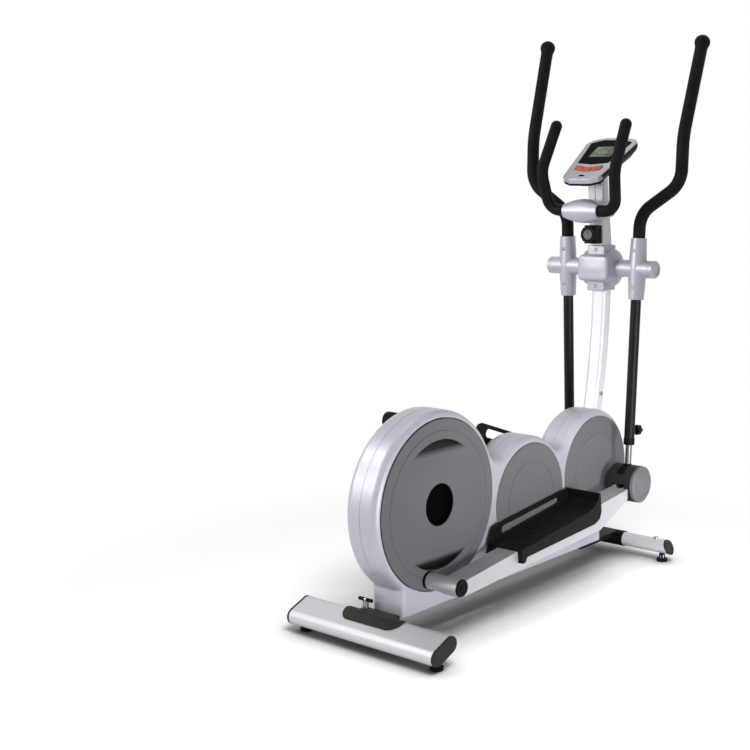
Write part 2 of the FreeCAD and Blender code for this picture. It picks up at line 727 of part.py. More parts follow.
def scoop(side, half_turn):
    slope = math.degrees(math.atan2(
        d.crescent_depth.value, crescent_radius.value - crescent_chord.value))
    wedge = doc.addObject("Part::Box", "wedge")
    wedge.Length = 40
    bind(wedge, "Width", crescent_radius * 2)
    bind(wedge, "Height", crescent_radius)
    corner = Vector(disc_face.value, -crescent_radius.value, crescent_chord.value)
    turn = Rotation(Vector(0, 0, 1), 0 if side > 0 else 180) * Rotation(Vector(1, 0, 0), half_turn)
    spot = Vector(0, crank[0].value, crank[1].value)
    wedge.Placement = Placement(spot, turn) * Placement(corner, Rotation(Vector(0, 1, 0), -slope))
    return common(rod(crescent_radius, *span(side, disc_back, disc_face + 5), *crank), wedge)


def disc(side):
    body = new_body()
    near, far = span(side, disc_back, disc_face)

    def annulus(sk):
        circle(sk, *crank, disc_radius)
        circle(sk, *crank, d.disc_hole)

    plate = slab(body, near, far, annulus)
    face = far if side > 0 else near
    rims = edges(plate, lambda edge: abs(edge.CenterOfMass.x - face.value) < 0.01)
    soften(body, plate, rims, 1.5, "PartDesign::Chamfer")

    def ring(sk):
        circle(sk, *crank, ring_radius + 2)
        circle(sk, *crank, ring_radius)

    slot(body, *span(side, disc_face - 1, disc_face), ring)
    return cut(body, scoop(side, 0), scoop(side, 180))


flange_near = dish_face + 0.6
hub_caps = []
flanges = []
bearings = []
for side in (1, -1):
    keep(name("crank_disc", side), disc(side))
    hub_near = disc_back if side > 0 else -disc_back
    deep = side * 3
    lip = (d.disc_thick - 2) * side
    hub_caps.append(turned("cap", [
        (hub_near, 0), (hub_near, d.disc_hole), (hub_near + lip, d.disc_hole),
        (hub_near + lip, d.disc_hole - 4), (hub_near + deep, d.disc_hole - 8),
        (hub_near + deep, 0)], *crank))
    flanges.append(rod(d.flange_radius, *span(side, flange_near, disc_back), *crank))
    outer = span(side, bracket_half - d.bearing_wide, bracket_half)
    bearings.append(cut(rod(d.bearing_radius, *outer, *crank),
                        rod(d.axle_radius + d.run_gap, *outer, *crank)))
keep("hub_caps", group(hub_caps))
keep("crank_axle", fuse(rod(d.axle_radius, -flange_near, flange_near, *crank), *flanges))
keep("crank_bearings", group(bearings))
keep("drive_pulley", cut(rod(d.pulley_radius, pulley_near, pulley_far, *crank),
                         rod(d.axle_radius, pulley_near, pulley_far, *crank)))

# Flywheel with its pulley shaft, the belt and the magnet yoke
wheel = rod(d.wheel_radius, -wheel_half, wheel_half, *mid)
hollows = [rod(d.web_radius, *span(side, d.web_half, wheel_half), *mid) for side in (1, -1)]
keep("flywheel", cut(wheel, *hollows, rod(d.wheel_axle, -wheel_half, wheel_half, *mid)))
wheel_hub = rod(d.wheel_axle + 5, d.web_half, fork_near - 1, *mid)
keep("flywheel_shaft", fuse(rod(d.wheel_axle, -fork_far, pulley_far, *mid),
                            rod(d.small_pulley, pulley_near, pulley_far, *mid), wheel_hub))

belt = new_body()
belt_edges = (pulley_near + 0.5, pulley_far - 0.5)
for draw, skin in ((slab, d.belt_thick + 0.3), (slot, size(0.3))):
    draw(belt, *belt_edges, lambda sk: loop(
        sk, *crank, d.pulley_radius + skin, *mid, d.small_pulley + skin))
keep("drive_belt", belt)


def sector(radius, half, start, sweep):
    piece = rod(radius, -half, half, *mid)
    piece.Placement = Placement(Vector(-float(half), mid[0].value, mid[1].value),
                                Rotation(Vector(1, 0, 0), start) * across)
    bind(piece, "Angle", sweep)
    return piece


yoke_start = 90 + d.yoke_angle.value - 4
yoke_half = wheel_half - 1
shoe = cut(sector(yoke_low + d.yoke_thick, yoke_half, yoke_start, d.yoke_sweep),
           rod(yoke_low, -yoke_half, yoke_half, *mid))
knuckle = rod(7, -yoke_half, yoke_half, *yoke_pivot)
yoke_room = rod(20, -9, 9, *yoke_pivot)
yoke_pin = rod(4, -yoke_half, yoke_half, *yoke_pivot)
keep("brake_yoke", fuse(cut(fuse(shoe, knuckle), yoke_room), yoke_pin))

# Mast: a box tube with rounded corners
mast_bore = mast_stock(-d.mast_wall, beam_top - 1, block_bottom + 1)
keep("mast", cut(mast_stock(size(0), beam_top, block_bottom), mast_bore))

# Pivot block: a barrel with coned shoulders round the swing axle, on an upright block
pivot_body = turned("pivot", [
    (-d.barrel_end, 0), (-d.barrel_end, d.barrel_neck), (-d.barrel_half, d.barrel_radius),
    (d.barrel_half, d.barrel_radius), (d.barrel_end, d.barrel_neck), (d.barrel_end, 0)], *axle)
sketch = new_sketch(pivot_body, "XY_Plane", block_bottom)
block_back = axle[0] - d.block_back
block_front = axle[0] + d.block_front
polygon(sketch, [(-d.block_half, block_back), (d.block_half, block_back),
                 (d.block_half, block_front), (-d.block_half, block_front)])
extrude(pivot_body, sketch, block_top - block_bottom)
plate_sketch = new_sketch(pivot_body, "XY_Plane", axle[1] - d.plate_high)
plate_back = axle[0] - d.barrel_radius - 1
polygon(plate_sketch, [(-d.plate_half, plate_back), (d.plate_half, plate_back),
                       (d.plate_half, axle[0]), (-d.plate_half, axle[0])])
extrude(pivot_body, plate_sketch, d.plate_high * 2)
slot(pivot_body, -d.barrel_end, d.barrel_end, lambda sk: circle(sk, *axle, d.pivot_radius))
keep("pivot_block", pivot_body)
axle_reach = hub_end + d.clear_gap
keep("pivot_axle", rod(d.pivot_radius, -axle_reach, axle_reach, *axle))
axle_caps = []
for side in (1, -1):
    reach = axle_reach if side > 0 else -axle_reach
    deep = d.axle_cap if side > 0 else -d.axle_cap
    axle_caps.append(turned("cap", [
        (reach, 0), (reach, d.hub_radius), (reach + deep * 0.7, d.hub_radius),
        (reach + deep, d.hub_radius - 4), (reach + deep, d.hub_radius - 9),
        (reach + deep * 0.85, d.hub_radius - 10), (reach + deep * 0.85, 0)], *axle))
keep("axle_caps", group(axle_caps))

# Console on the head post, tilted towards the user: a tapered face with a lower lip
console_spot = Vector(0, axle[0].value - d.console_back.value, axle[1].value + d.console_rise.value)
console_place = Placement(console_spot, Rotation(Vector(1, 0, 0), d.console_tilt.value))


def both_sides(points):
    return points + [(-size(x), y) for x, y in reversed(points)]


def console_outline(sk, inset):
    foot = d.console_foot - inset
    head = d.console_half - inset
    low = inset - d.console_low
    up = d.console_up - inset
    polygon(sk, both_sides([(foot - 30, low), (foot, low + 14), (head, up - 34), (head - 18, up - 12),
                            (head * 0.33, up)]))


def window_outline(sk):
    polygon(sk, [(size(0), -d.window_low - 9)] + both_sides([
        (d.window_foot, -d.window_low), (d.window_half, d.window_up - 18),
        (d.window_half * 0.5, d.window_up)]))


back = new_body()
rings = []
for deep, inset in ((d.console_deep, 22), (d.console_deep * 0.4, 4), (size(0), 0)):
    sketch = new_sketch(back, "XY_Plane", -d.bezel_thick - deep)
    console_outline(sketch, size(inset))
    rings.append(sketch)
loft = back.newObject("PartDesign::AdditiveLoft", "loft")
loft.Profile = rings[0]
loft.Sections = rings[1:]
loft.Ruled = True
back.Tip = loft
lip_low = -d.bezel_thick - d.lip_deep
lip_room = block(-d.console_half, d.console_half, -d.console_low - 5, -d.lip_back, lip_low, 0)
keep("console_back", cut(back, lip_room), console_place)

bezel = new_body()
sketch = new_sketch(bezel, "XY_Plane", -d.bezel_thick)
console_outline(sketch, size(0))
extrude(bezel, sketch, d.bezel_thick)
lip_share = (d.console_low - 14 - d.lip_back) / (d.console_low + d.console_up - 48)
lip_half = d.console_foot + (d.console_half - d.console_foot) * lip_share
sketch = new_sketch(bezel, "XY_Plane", lip_low)
polygon(sketch, both_sides([(d.console_foot - 30, -d.console_low),
                            (d.console_foot, -d.console_low + 14), (lip_half, -d.lip_back)]))
bezel_plate = extrude(bezel, sketch, d.lip_deep)
uprights = edges(bezel_plate, lambda edge: along(edge, Vector(0, 0, 1)) and edge.BoundBox.ZMax > -0.01)
softened = soften(bezel, bezel_plate, uprights, 12)
top_rim = edges(softened, lambda edge: edge.BoundBox.ZMin > -0.01)
soften(bezel, softened, top_rim, 3)
sketch = new_sketch(bezel, "XY_Plane", -d.bezel_thick)
window_outline(sketch)
carve(bezel, sketch, d.bezel_thick)


def key_outline(sk, place, gap):
    wide = d.key_half + gap
    tall = d.key_tall * 0.5 + gap
    x = d.key_step * place
    y = d.key_y + abs(place) * 6
    lift = place * 3
    polygon(sk, [(x - wide, y - tall - lift), (x + wide, y - tall + lift),
                 (x + wide, y + tall + lift), (x - wide, y + tall - lift)])


for place, word in ((-1, "left"), (0, "centre"), (1, "right")):
    sketch = new_sketch(bezel, "XY_Plane", -d.bezel_thick)
    key_outline(sketch, place, d.clear_gap)
    carve(bezel, sketch, d.bezel_thick)
    key = new_body()
    sketch = new_sketch(key, "XY_Plane", -d.bezel_thick + d.key_stroke + 0.5)
    key_outline(sketch, place, size(0))
    cap = extrude(key, sketch, d.bezel_thick - d.key_stroke - 0.5 + 1.5)
    crown = edges(cap, lambda edge: edge.BoundBox.ZMin > 1.4)
    soften(key, cap, crown, 0.8)
    keep(f"key_{word}", key, console_place)
keep("console_bezel", bezel, console_place)

window = new_body()
sketch = new_sketch(window, "XY_Plane", -d.bezel_thick)
window_outline(sketch)
extrude(window, sketch, d.bezel_thick - 2)
keep("console_window", window, console_place)

# Head post: tapers and leans towards the user, cut off along the console's back
head_top = axle[1] + d.console_rise
post_back = axle[0] - d.post_back


def head_stock():
    body = new_body()
    rings = []
    for z, lean, deep in ((block_top, size(0), d.post_deep),
                          (head_top, d.post_lean, d.post_deep - d.post_taper)):
        sketch = new_sketch(body, "XY_Plane", z)
        back_y = post_back - lean
        polygon(sketch, [(-d.post_half, back_y), (d.post_half, back_y),
                         (d.post_half, back_y + deep), (-d.post_half, back_y + deep)])
        rings.append(sketch)
    loft = body.newObject("PartDesign::AdditiveLoft", "loft")
    loft.Profile = rings[0]
    loft.Sections = rings[1:]
    body.Tip = loft
    return body


lid = doc.addObject("Part::Box", "lid")
lid.Length = 400
lid.Width = 600
lid.Height = 400
lid.Placement = console_place * Placement(
    Vector(-200, -300, -(d.bezel_thick + d.console_deep).value), Rotation())
keep("head_post", cut(head_stock(), lid))

# Resistance knob on its box, behind the head post
knob_z = axle[1] + d.knob_high
box_back = post_back - d.knob_box_deep
knob_hole = spindle(d.screw_radius + d.clear_gap, 0, box_back, box_back + 20, knob_z)
knob_box = block(-d.knob_box_half, d.knob_box_half, box_back, post_back + 4,
                 knob_z - d.knob_box_tall, knob_z + d.knob_box_tall)
keep("knob_box", cut(knob_box, knob_hole, head_stock()))
knob_back = box_back - d.knob_deep
knob_front = box_back - d.clear_gap
dial = spindle(d.knob_radius, 0, knob_back, knob_front, knob_z)
flutes = []
for step in range(12):
    turn = math.radians(30 * step)
    flutes.append(spindle(2, (d.knob_radius + 0.8) * math.cos(turn), knob_back - 1,
                          knob_front - 4, knob_z + (d.knob_radius + 0.8) * math.sin(turn)))
stem = spindle(d.screw_radius, 0, knob_front - 1, box_back + 18, knob_z)
keep("resistance_knob", fuse(cut(dial, *flutes), stem))

# Fixed horns and the boat-shaped fairing that they come out of
fairing_z = axle[1] + d.fairing_rise
fairing_y = axle[0] - d.fairing_back
horn_y = fairing_y - d.horn_back
horns = []
for side in (1, -1):
    route = [(30, 0, 0), (119, 0, 2), (131, -30, 120), (125, 40, 258)]
    spots = [Vector(side * x, horn_y.value + y, fairing_z.value + z) for x, y, z in route]
    tube = bent_tube(d.horn_radius, spots, (42, 75))
    tip = doc.addObject("Part::Sphere", "tip")
    bind(tip, "Radius", d.horn_radius)
    tip.Placement = Placement(spots[-1], Rotation())
    horns.append(fuse(tube, tip))
fairing = new_body()
rings = []
for share, near in ((-1, d.fairing_mouth), (0, d.fairing_nose), (1, d.fairing_mouth)):
    sketch = new_sketch(fairing, "YZ_Plane", d.fairing_half * share)
    near_y = horn_y - d.fairing_mouth + near
    loop(sketch, near_y, fairing_z, near, fairing_y - 3, fairing_z, near - 6)
    rings.append(sketch)
loft = fairing.newObject("PartDesign::AdditiveLoft", "loft")
loft.Profile = rings[0]
loft.Sections = rings[1:]
fairing.Tip = loft
keep("handle_fairing", cut(fairing, head_stock(), *horns))
keep("fixed_horns", group(horns))

# Swing arms, drawn upright about the swing axle and then turned to their rest angle
knob_drop = d.arm_knob_rise - arm_length
for side in (1, -1):
    x = d.arm_x if side > 0 else -d.arm_x
    hub = fuse(rod(d.hub_radius, *span(side, d.barrel_end + 0.5, hub_end), 0, 0),
               cone(d.sleeve_mid, d.sleeve_end, x, 0, 0, d.sleeve_half),
               cone(d.sleeve_end, d.sleeve_mid, x, 0, -d.sleeve_half, 0))
    bore = rod(d.pivot_radius + d.run_gap, *span(side, d.barrel_end, hub_end + 1), 0, 0)
    socket = d.pivot_radius + 18
    low_socket = post(d.arm_radius, x, 0, -d.sleeve_half, -socket)
    high_socket = post(d.arm_radius - 1, x, 0, socket, d.sleeve_half)
    keep(name("arm_sleeve", side), cut(hub, bore, low_socket, high_socket), on_arm(side))

    tube = post(d.arm_radius, x, 0, -arm_length, -socket)
    tube_bore = post(d.arm_bore, x, 0, -arm_length + d.collar_length, -socket)
    collar_bore = post(d.rod_radius + d.run_gap, x, 0, -arm_length, -arm_length + d.collar_length)
    knob_bore = spindle(d.screw_radius + d.clear_gap, x, 0, d.arm_radius + 1, knob_drop)
    keep(name("arm_tube", side), cut(tube, tube_bore, collar_bore, knob_bore), on_arm(side))

    stem_tip = d.rod_radius + d.clear_gap
    head_near = d.arm_radius + 18
    head = spindle(d.arm_knob_radius, x, head_near, head_near + 20, knob_drop)
    dents = []
    for step in range(6):
        turn = math.radians(60 * step + 30)
        dents.append(spindle(5, x + (d.arm_knob_radius + 2) * math.cos(turn), head_near - 1,
                             head_near + 21, knob_drop + (d.arm_knob_radius + 2) * math.sin(turn)))
    knob = fuse(cut(head, *dents), spindle(d.screw_radius, x, stem_tip, head_near + 1, knob_drop),
                spindle(d.screw_radius + 3, x, d.arm_radius + d.clear_gap, head_near + 1, knob_drop))
    keep(name("arm_knob", side), knob, on_arm(side))

    rod_top = -arm_length + d.collar_length + d.rod_inside
    link = fuse(post(d.rod_radius, x, 0, -arm_drop, rod_top),
                rod(d.bar_pin + 8, x - d.barrel_wide * 0.5, x + d.barrel_wide * 0.5, 0, -arm_drop))
    link_bore = rod(d.bar_pin + d.run_gap, x - d.barrel_wide, x + d.barrel_wide, 0, -arm_drop)
    hollow = post(d.rod_radius - 2.5, x, 0, -arm_drop + 25, rod_top + 1)
    keep(name("lower_arm", side), cut(link, link_bore, hollow), on_arm(side))

    out = x + d.handle_out if side > 0 else x - d.handle_out
    spots = [Vector(x.value, 0, d.sleeve_half.value),
             Vector(x.value, 0, d.handle_bend.value),
             Vector(out.value, 1, (d.handle_bend + d.handle_rise).value),
             Vector(out.value - side * 3, 5, d.handle_knee.value),
             Vector(out.value - side * 3, d.handle_lean.value, d.handle_top.value)]
    sweep = bent_tube(d.handle_radius, spots, (80, 80, 260))
    ball = doc.addObject("Part::Sphere", "ball")
    bind(ball, "Radius", d.ball_radius)
    ball.Placement = Placement(spots[-1], Rotation())
    spigot = post(d.arm_radius - 1, x, 0, socket, d.sleeve_half + 5)
    keep(name("handle_grip", side), fuse(sweep, ball, spigot), on_arm(side))

# Pedal bars, drawn about their front pivot and then turned to meet the crank pins
bar_pin = (-bar_reach, -d.bar_drop)
lug_near = bar_inner + d.lug_thick
lug_far = d.arm_x + d.barrel_wide * 0.5 + 2
bar_slope = (d.bar_drop - d.bar_top - d.nose_top) / (bar_reach - d.nose_back)
low_slope = (d.bar_drop + d.bar_low - d.heel_drop) / (bar_reach - d.heel_back)
bar_rise = math.atan(bar_slope.value)


def beam_outline(sk, wall, rear):
    back = rear - bar_reach
    polygon(sk, [(back, bar_pin[1] - d.bar_low + low_slope * rear + wall),
                 (-d.heel_back, -d.heel_drop + wall),
                 (-d.nose_back - wall, -d.nose_drop + wall * 1.6),
                 (-d.nose_back - wall, -d.nose_top - wall * 1.4),
                 (back, bar_pin[1] + d.bar_top + bar_slope * rear - wall)])


for side in (1, -1):
    bar = new_body()
    slab(bar, *span(side, bar_inner, bar_outer), lambda sk: beam_outline(sk, size(0), size(0)))
    slab(bar, *span(side, bush_inner, bar_outer), lambda sk: circle(sk, *bar_pin, d.bush_radius))
    for near, far in ((bar_inner, lug_near), (lug_far, lug_far + d.lug_thick)):
        slab(bar, *span(side, near, far), lambda sk: loop(
            sk, -d.nose_back - 16, -(d.nose_top + d.nose_drop) * 0.5, 6, 0, 0, d.lug_radius))
    slot(bar, *span(side, bar_inner + d.bar_wall, bar_outer - d.bar_wall),
         lambda sk: beam_outline(sk, d.bar_wall, d.bush_radius + d.bar_wall))
    slot(bar, *span(side, bush_inner - 1, bar_outer + 1),
         lambda sk: circle(sk, *bar_pin, d.pivot_radius))
    slot(bar, *span(side, bar_inner - 1, bar_outer + 1), lambda sk: circle(sk, 0, 0, d.bar_pin))
    keep(name("pedal_bar", side), bar, on_bar(side))

    pin_near = disc_face + 0.3
    flip = size(side)
    pin = turned("pin", [(x * flip, radius) for x, radius in (
        (pin_near, size(0)), (pin_near, d.bush_radius + 1), (bush_inner, d.bush_radius + 1),
        (bush_inner, d.pivot_radius), (bar_outer, d.pivot_radius),
        (bar_outer, d.bush_radius + 1), (bar_outer + 4, d.bush_radius + 1),
        (bar_outer + 6, d.bush_radius - 1), (bar_outer + 6, d.bush_radius - 8),
        (bar_outer + 4, d.bush_radius - 9), (bar_outer + 4, size(0)))], *bar_pin)
    keep(name("crank_pin", side), pin, on_bar(side))

    end_wall = cover_inner + d.cover_wall
    shell = turned("cover", [(x * flip, radius) for x, radius in (
        (cover_inner, size(0)), (cover_inner, d.cover_radius - 6),
        (cover_inner + 6, d.cover_radius), (cover_outer, d.cover_radius),
        (cover_outer, d.cover_radius - d.cover_wall),
        (cover_inner + 7, d.cover_radius - d.cover_wall), (end_wall, d.cover_radius - 7),
        (end_wall, size(0)))], 0, 0)
    gate = block(*span(side, bar_inner - 1, lug_far + d.lug_thick + 1), -d.cover_radius - 5,
                 -d.cover_radius + 22, -d.nose_drop + 6, d.nose_top + 1)
    swing_slot = doc.addObject("Part::Cylinder", "slot")
    bind(swing_slot, "Radius", d.cover_radius + 5)
    bind(swing_slot, "Height", d.rod_radius * 2 + 6)
    bind(swing_slot, "Angle", 84)
    slot_near = span(side, d.arm_x - d.rod_radius - 3, d.arm_x + d.rod_radius + 3)[0]
    swing_slot.Placement = Placement(Vector(slot_near.value, 0, 0),
                                     Rotation(Vector(1, 0, 0), 150) * across)
    keep(name("pivot_cover", side), cut(shell, gate, swing_slot), on_bar(side))

    bolt = turned("bolt", [(x * flip, radius) for x, radius in (
        (end_wall, size(0)), (end_wall, d.bar_pin), (cover_outer, d.bar_pin),
        (cover_outer, d.cover_radius - 1), (cover_outer + 9, d.cover_radius - 1),
        (cover_outer + 12, d.cover_radius - 5), (cover_outer + 12, d.cover_radius - 13),
        (cover_outer + 9, d.cover_radius - 15), (cover_outer + 9, d.cover_radius - 28),
        (cover_outer + 12, d.cover_radius - 31), (cover_outer + 12, size(0)))], 0, 0)
    keep(name("pivot_bolt", side), bolt, on_bar(side))

    # Footplate: a ribbed floor with a high slotted inner wall, a toe wall and an outer skirt
    plate = new_body()
    wall = d.pedal_floor
    toe = d.pedal_length
    high = d.pedal_wall
    tab = d.pedal_tab
    slab(plate, *span(side, pedal_inner, pedal_outer), lambda sk: polygon(
        sk, [(0, 0), (toe, 0), (toe, wall), (0, wall)]))
    slab(plate, *span(side, pedal_inner, pedal_inner + wall), lambda sk: polygon(sk, [
        (-9, -d.pedal_skirt), (toe, -d.pedal_skirt), (toe, high), (38, high), (22, high - 7)]))
    slab(plate, *span(side, pedal_outer - wall, pedal_outer), lambda sk: polygon(sk, [
        (0, -d.pedal_heel), (tab, -d.pedal_heel), (tab + 8, -d.pedal_skirt), (toe - 36, -d.pedal_nose),
        (toe - 10, -d.pedal_nose * 0.8), (toe, -d.pedal_nose * 0.3), (toe, high), (toe - 6, high),
        (toe - 14, high * 0.6), (toe - 32, wall + 9), (toe - 70, wall + 2), (0, wall)]))
    slab(plate, *span(side, bar_outer + 1, pedal_outer), lambda sk: polygon(sk, [
        (0, -d.pedal_heel), (tab, -d.pedal_heel), (tab, 1), (0, 1)]))
    slab(plate, *span(side, pedal_inner, pedal_outer), lambda sk: polygon(sk, [
        (toe - wall - 16, wall - 1), (toe, wall - 1), (toe, high), (toe - wall, high),
        (toe - wall - 3, wall + 14)]))
    slot(plate, *span(side, pedal_inner - 1, pedal_inner + wall + 1),
         lambda sk: loop(sk, 76, wall + 16, 13, toe - 58, wall + 18, 10))
    rib = slab(plate, *span(side, pedal_inner + wall + d.rib_margin, pedal_outer - wall - 6),
               lambda sk: polygon(sk, [(24, wall - 0.5), (30, wall - 0.5), (29, wall + 2), (25, wall + 2)]))
    pattern = plate.newObject("PartDesign::LinearPattern", "ribs")
    pattern.Originals = [rib]
    pattern.Direction = (rib.Profile[0], ["H_Axis"])
    bind(pattern, "Length", d.rib_step * (d.rib_count - 1))
    bind(pattern, "Occurrences", d.rib_count)
    plate.Tip = pattern
    pedal_rear = d.pedal_front + d.pedal_length
    seat_y = -pedal_rear.value
    seat_z = -d.nose_top.value - (pedal_rear - d.nose_back).value * math.tan(bar_rise)
    seat = Placement(Vector(0, seat_y, seat_z), Rotation(Vector(1, 0, 0), math.degrees(bar_rise)))
    keep(name("pedal_plate", side), plate, on_bar(side) * seat)

doc.recompute()
for obj in doc.Objects:
    if "Invalid" in obj.State or "Error" in obj.State:
        raise RuntimeError(f"{obj.Label} failed: {obj.State}")
for label, obj in parts.items():
    if obj.Shape.isNull() or not obj.Shape.isValid() or not obj.Shape.Solids:
        raise RuntimeError(f"{label} has no valid solid")

os.makedirs("parts", exist_ok=True)
for label, obj in parts.items():
    obj.Shape.exportStep(f"parts/{label}.step")
print(len(parts), "pieces; arms at", swings, "bars at", tilts)
print("pins", pins, "pivots", pivots)
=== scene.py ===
import json
import math

import bmesh
import bpy
import numpy as np
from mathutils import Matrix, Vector


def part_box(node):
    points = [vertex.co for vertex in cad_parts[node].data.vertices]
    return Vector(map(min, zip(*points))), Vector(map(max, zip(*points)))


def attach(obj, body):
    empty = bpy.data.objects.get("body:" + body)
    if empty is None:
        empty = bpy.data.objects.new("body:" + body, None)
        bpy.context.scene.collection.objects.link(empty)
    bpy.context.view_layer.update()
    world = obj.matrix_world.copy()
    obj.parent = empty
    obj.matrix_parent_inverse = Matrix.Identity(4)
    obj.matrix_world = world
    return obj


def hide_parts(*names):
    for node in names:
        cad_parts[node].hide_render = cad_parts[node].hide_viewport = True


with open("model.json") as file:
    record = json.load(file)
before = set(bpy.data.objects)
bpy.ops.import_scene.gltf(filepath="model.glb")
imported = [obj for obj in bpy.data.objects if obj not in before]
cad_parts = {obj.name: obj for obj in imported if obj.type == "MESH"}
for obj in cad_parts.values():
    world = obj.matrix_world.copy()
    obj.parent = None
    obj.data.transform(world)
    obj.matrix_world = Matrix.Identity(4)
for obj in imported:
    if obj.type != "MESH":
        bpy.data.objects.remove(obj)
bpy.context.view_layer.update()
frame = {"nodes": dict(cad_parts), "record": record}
nodes = frame["nodes"]
joints = {joint["name"]: joint for joint in frame["record"]["behaviour"]["joints"]}
print("frame loaded:", len(nodes), "nodes")

# Stage: camera, floor, world and lamps. Lengths are metres, angles degrees
cameraView = {
    "place": (2.1631, -2.9220, 1.1994),
    "yaw": 38.62,
    "pitch": 8.19,
    "lens": 61.54,
    "sensor": 36.0,
    "shift": (-0.1156, -0.0153),
    "farClip": 100.0,
}
studio = {
    "domeStrength": 0.22,
    "domeColour": "#F6F6FA",
    "floorColour": "#FAFAFB",
    "floorRadius": 14.0,
    "floorSides": 64,
    "floorFade": (0.8, 1.5),
    "floorLift": 0.3,
    "contactReach": 0.2,
    "contactPower": 2.0,
    "shaded": ["pivotCasting", "head_post", "handle_fairing", "arm_sleeve_right", "arm_sleeve_left",
               "axle_caps"],
    "lamps": [  # name, place, aim, size, spread, watts, what it lights
        ("keyLamp", (-1.6, -2.8, 1.7), (0, 0.45, 1.05), 1.6, 75, 10.8, "machine"),
        ("rimLamp", (-2.1, -1.75, 2.7), (0, -0.4, 0.45), 0.9, 60, 2.6, "machine"),
        ("sideLamp", (2.8, -0.7, 0.2), (0, 0.12, 0.26), 1.4, 40, 6.4, "lowParts"),
        ("toeLamp", (1.6, -0.9, 1.2), (0.2, 0.6, 0.05), 0.6, 22, 1.1, "machine"),
        ("overheadLamp", (-0.8, 0.2, 4.4), (0, 0, 0.4), 2.2, 150, 10, "machine"),
        ("floorLamp", (2.3, -1.6, 4.3), (0, 0, 0), 2.4, 160, 162, "floor"),
    ],
}


def linear(hexColour):
    # sRGB hex to the linear values that the shaders take
    srgb = np.array([int(hexColour[i:i + 2], 16) for i in (1, 3, 5)]) / 255
    values = np.where(srgb <= 0.04045, srgb / 12.92, ((srgb + 0.055) / 1.055) ** 2.4)
    return (*values.tolist(), 1.0)


def addNode(tree, kind, inputs=None, **settings):
    # Adds a node with its settings. An input that is a socket becomes a link, and any other a constant
    node = tree.nodes.new(kind)
    for key, value in settings.items():
        setattr(node, key, value)
    for socket, value in (inputs or {}).items():
        if isinstance(value, bpy.types.NodeSocket):
            tree.links.new(value, node.inputs[socket])
        else:
            node.inputs[socket].default_value = value
    return node


def newMaterial(name):
    # A node material with nothing in its tree yet
    material = bpy.data.materials.new(name)
    material.use_nodes = True
    material.node_tree.nodes.clear()
    return material, material.node_tree


def seenRay(tree):
    # 1 for rays from the camera and for rays that a gloss or a clear piece sends on
    path = addNode(tree, "ShaderNodeLightPath").outputs
    shown = addNode(tree, "ShaderNodeMath", {0: path["Is Camera Ray"], 1: path["Is Glossy Ray"]},
                    operation="MAXIMUM")
    shown = addNode(tree, "ShaderNodeMath", {0: shown.outputs[0], 1: path["Is Transmission Ray"]},
                    operation="MAXIMUM")
    return shown.outputs[0]


def placeCamera():
    # The camera looks ahead, turned left by the yaw from +Y and down by the pitch
    camera = bpy.data.objects.new("camera", bpy.data.cameras.new("camera"))
    bpy.context.collection.objects.link(camera)
    yaw, pitch = math.radians(cameraView["yaw"]), math.radians(cameraView["pitch"])
    ahead = Vector((-math.sin(yaw) * math.cos(pitch), math.cos(yaw) * math.cos(pitch), -math.sin(pitch)))
    camera.location = cameraView["place"]
    camera.rotation_euler = ahead.to_track_quat("-Z", "Y").to_euler()
    camera.data.sensor_width = cameraView["sensor"]
    camera.data.lens = cameraView["lens"]
    camera.data.shift_x, camera.data.shift_y = cameraView["shift"]
    camera.data.clip_end = cameraView["farClip"]
    bpy.context.scene.camera = camera
    bpy.context.scene.view_settings.view_transform = "Standard"


def paintWorld():
    # A dim dome lights the machine, and rays that are seen find plain white instead
    world = bpy.data.worlds.new("studioWorld")
    world.use_nodes = True
    tree = world.node_tree
    tree.nodes.clear()
    dome = addNode(tree, "ShaderNodeBackground", {"Color": linear(studio["domeColour"]),
                                                 "Strength": studio["domeStrength"]})
    white = addNode(tree, "ShaderNodeBackground", {"Color": (1, 1, 1, 1), "Strength": 1.0})
    mixed = addNode(tree, "ShaderNodeMixShader", {0: seenRay(tree), 1: dome.outputs[0], 2: white.outputs[0]})
    addNode(tree, "ShaderNodeOutputWorld", {"Surface": mixed.outputs[0]})
    bpy.context.scene.world = world


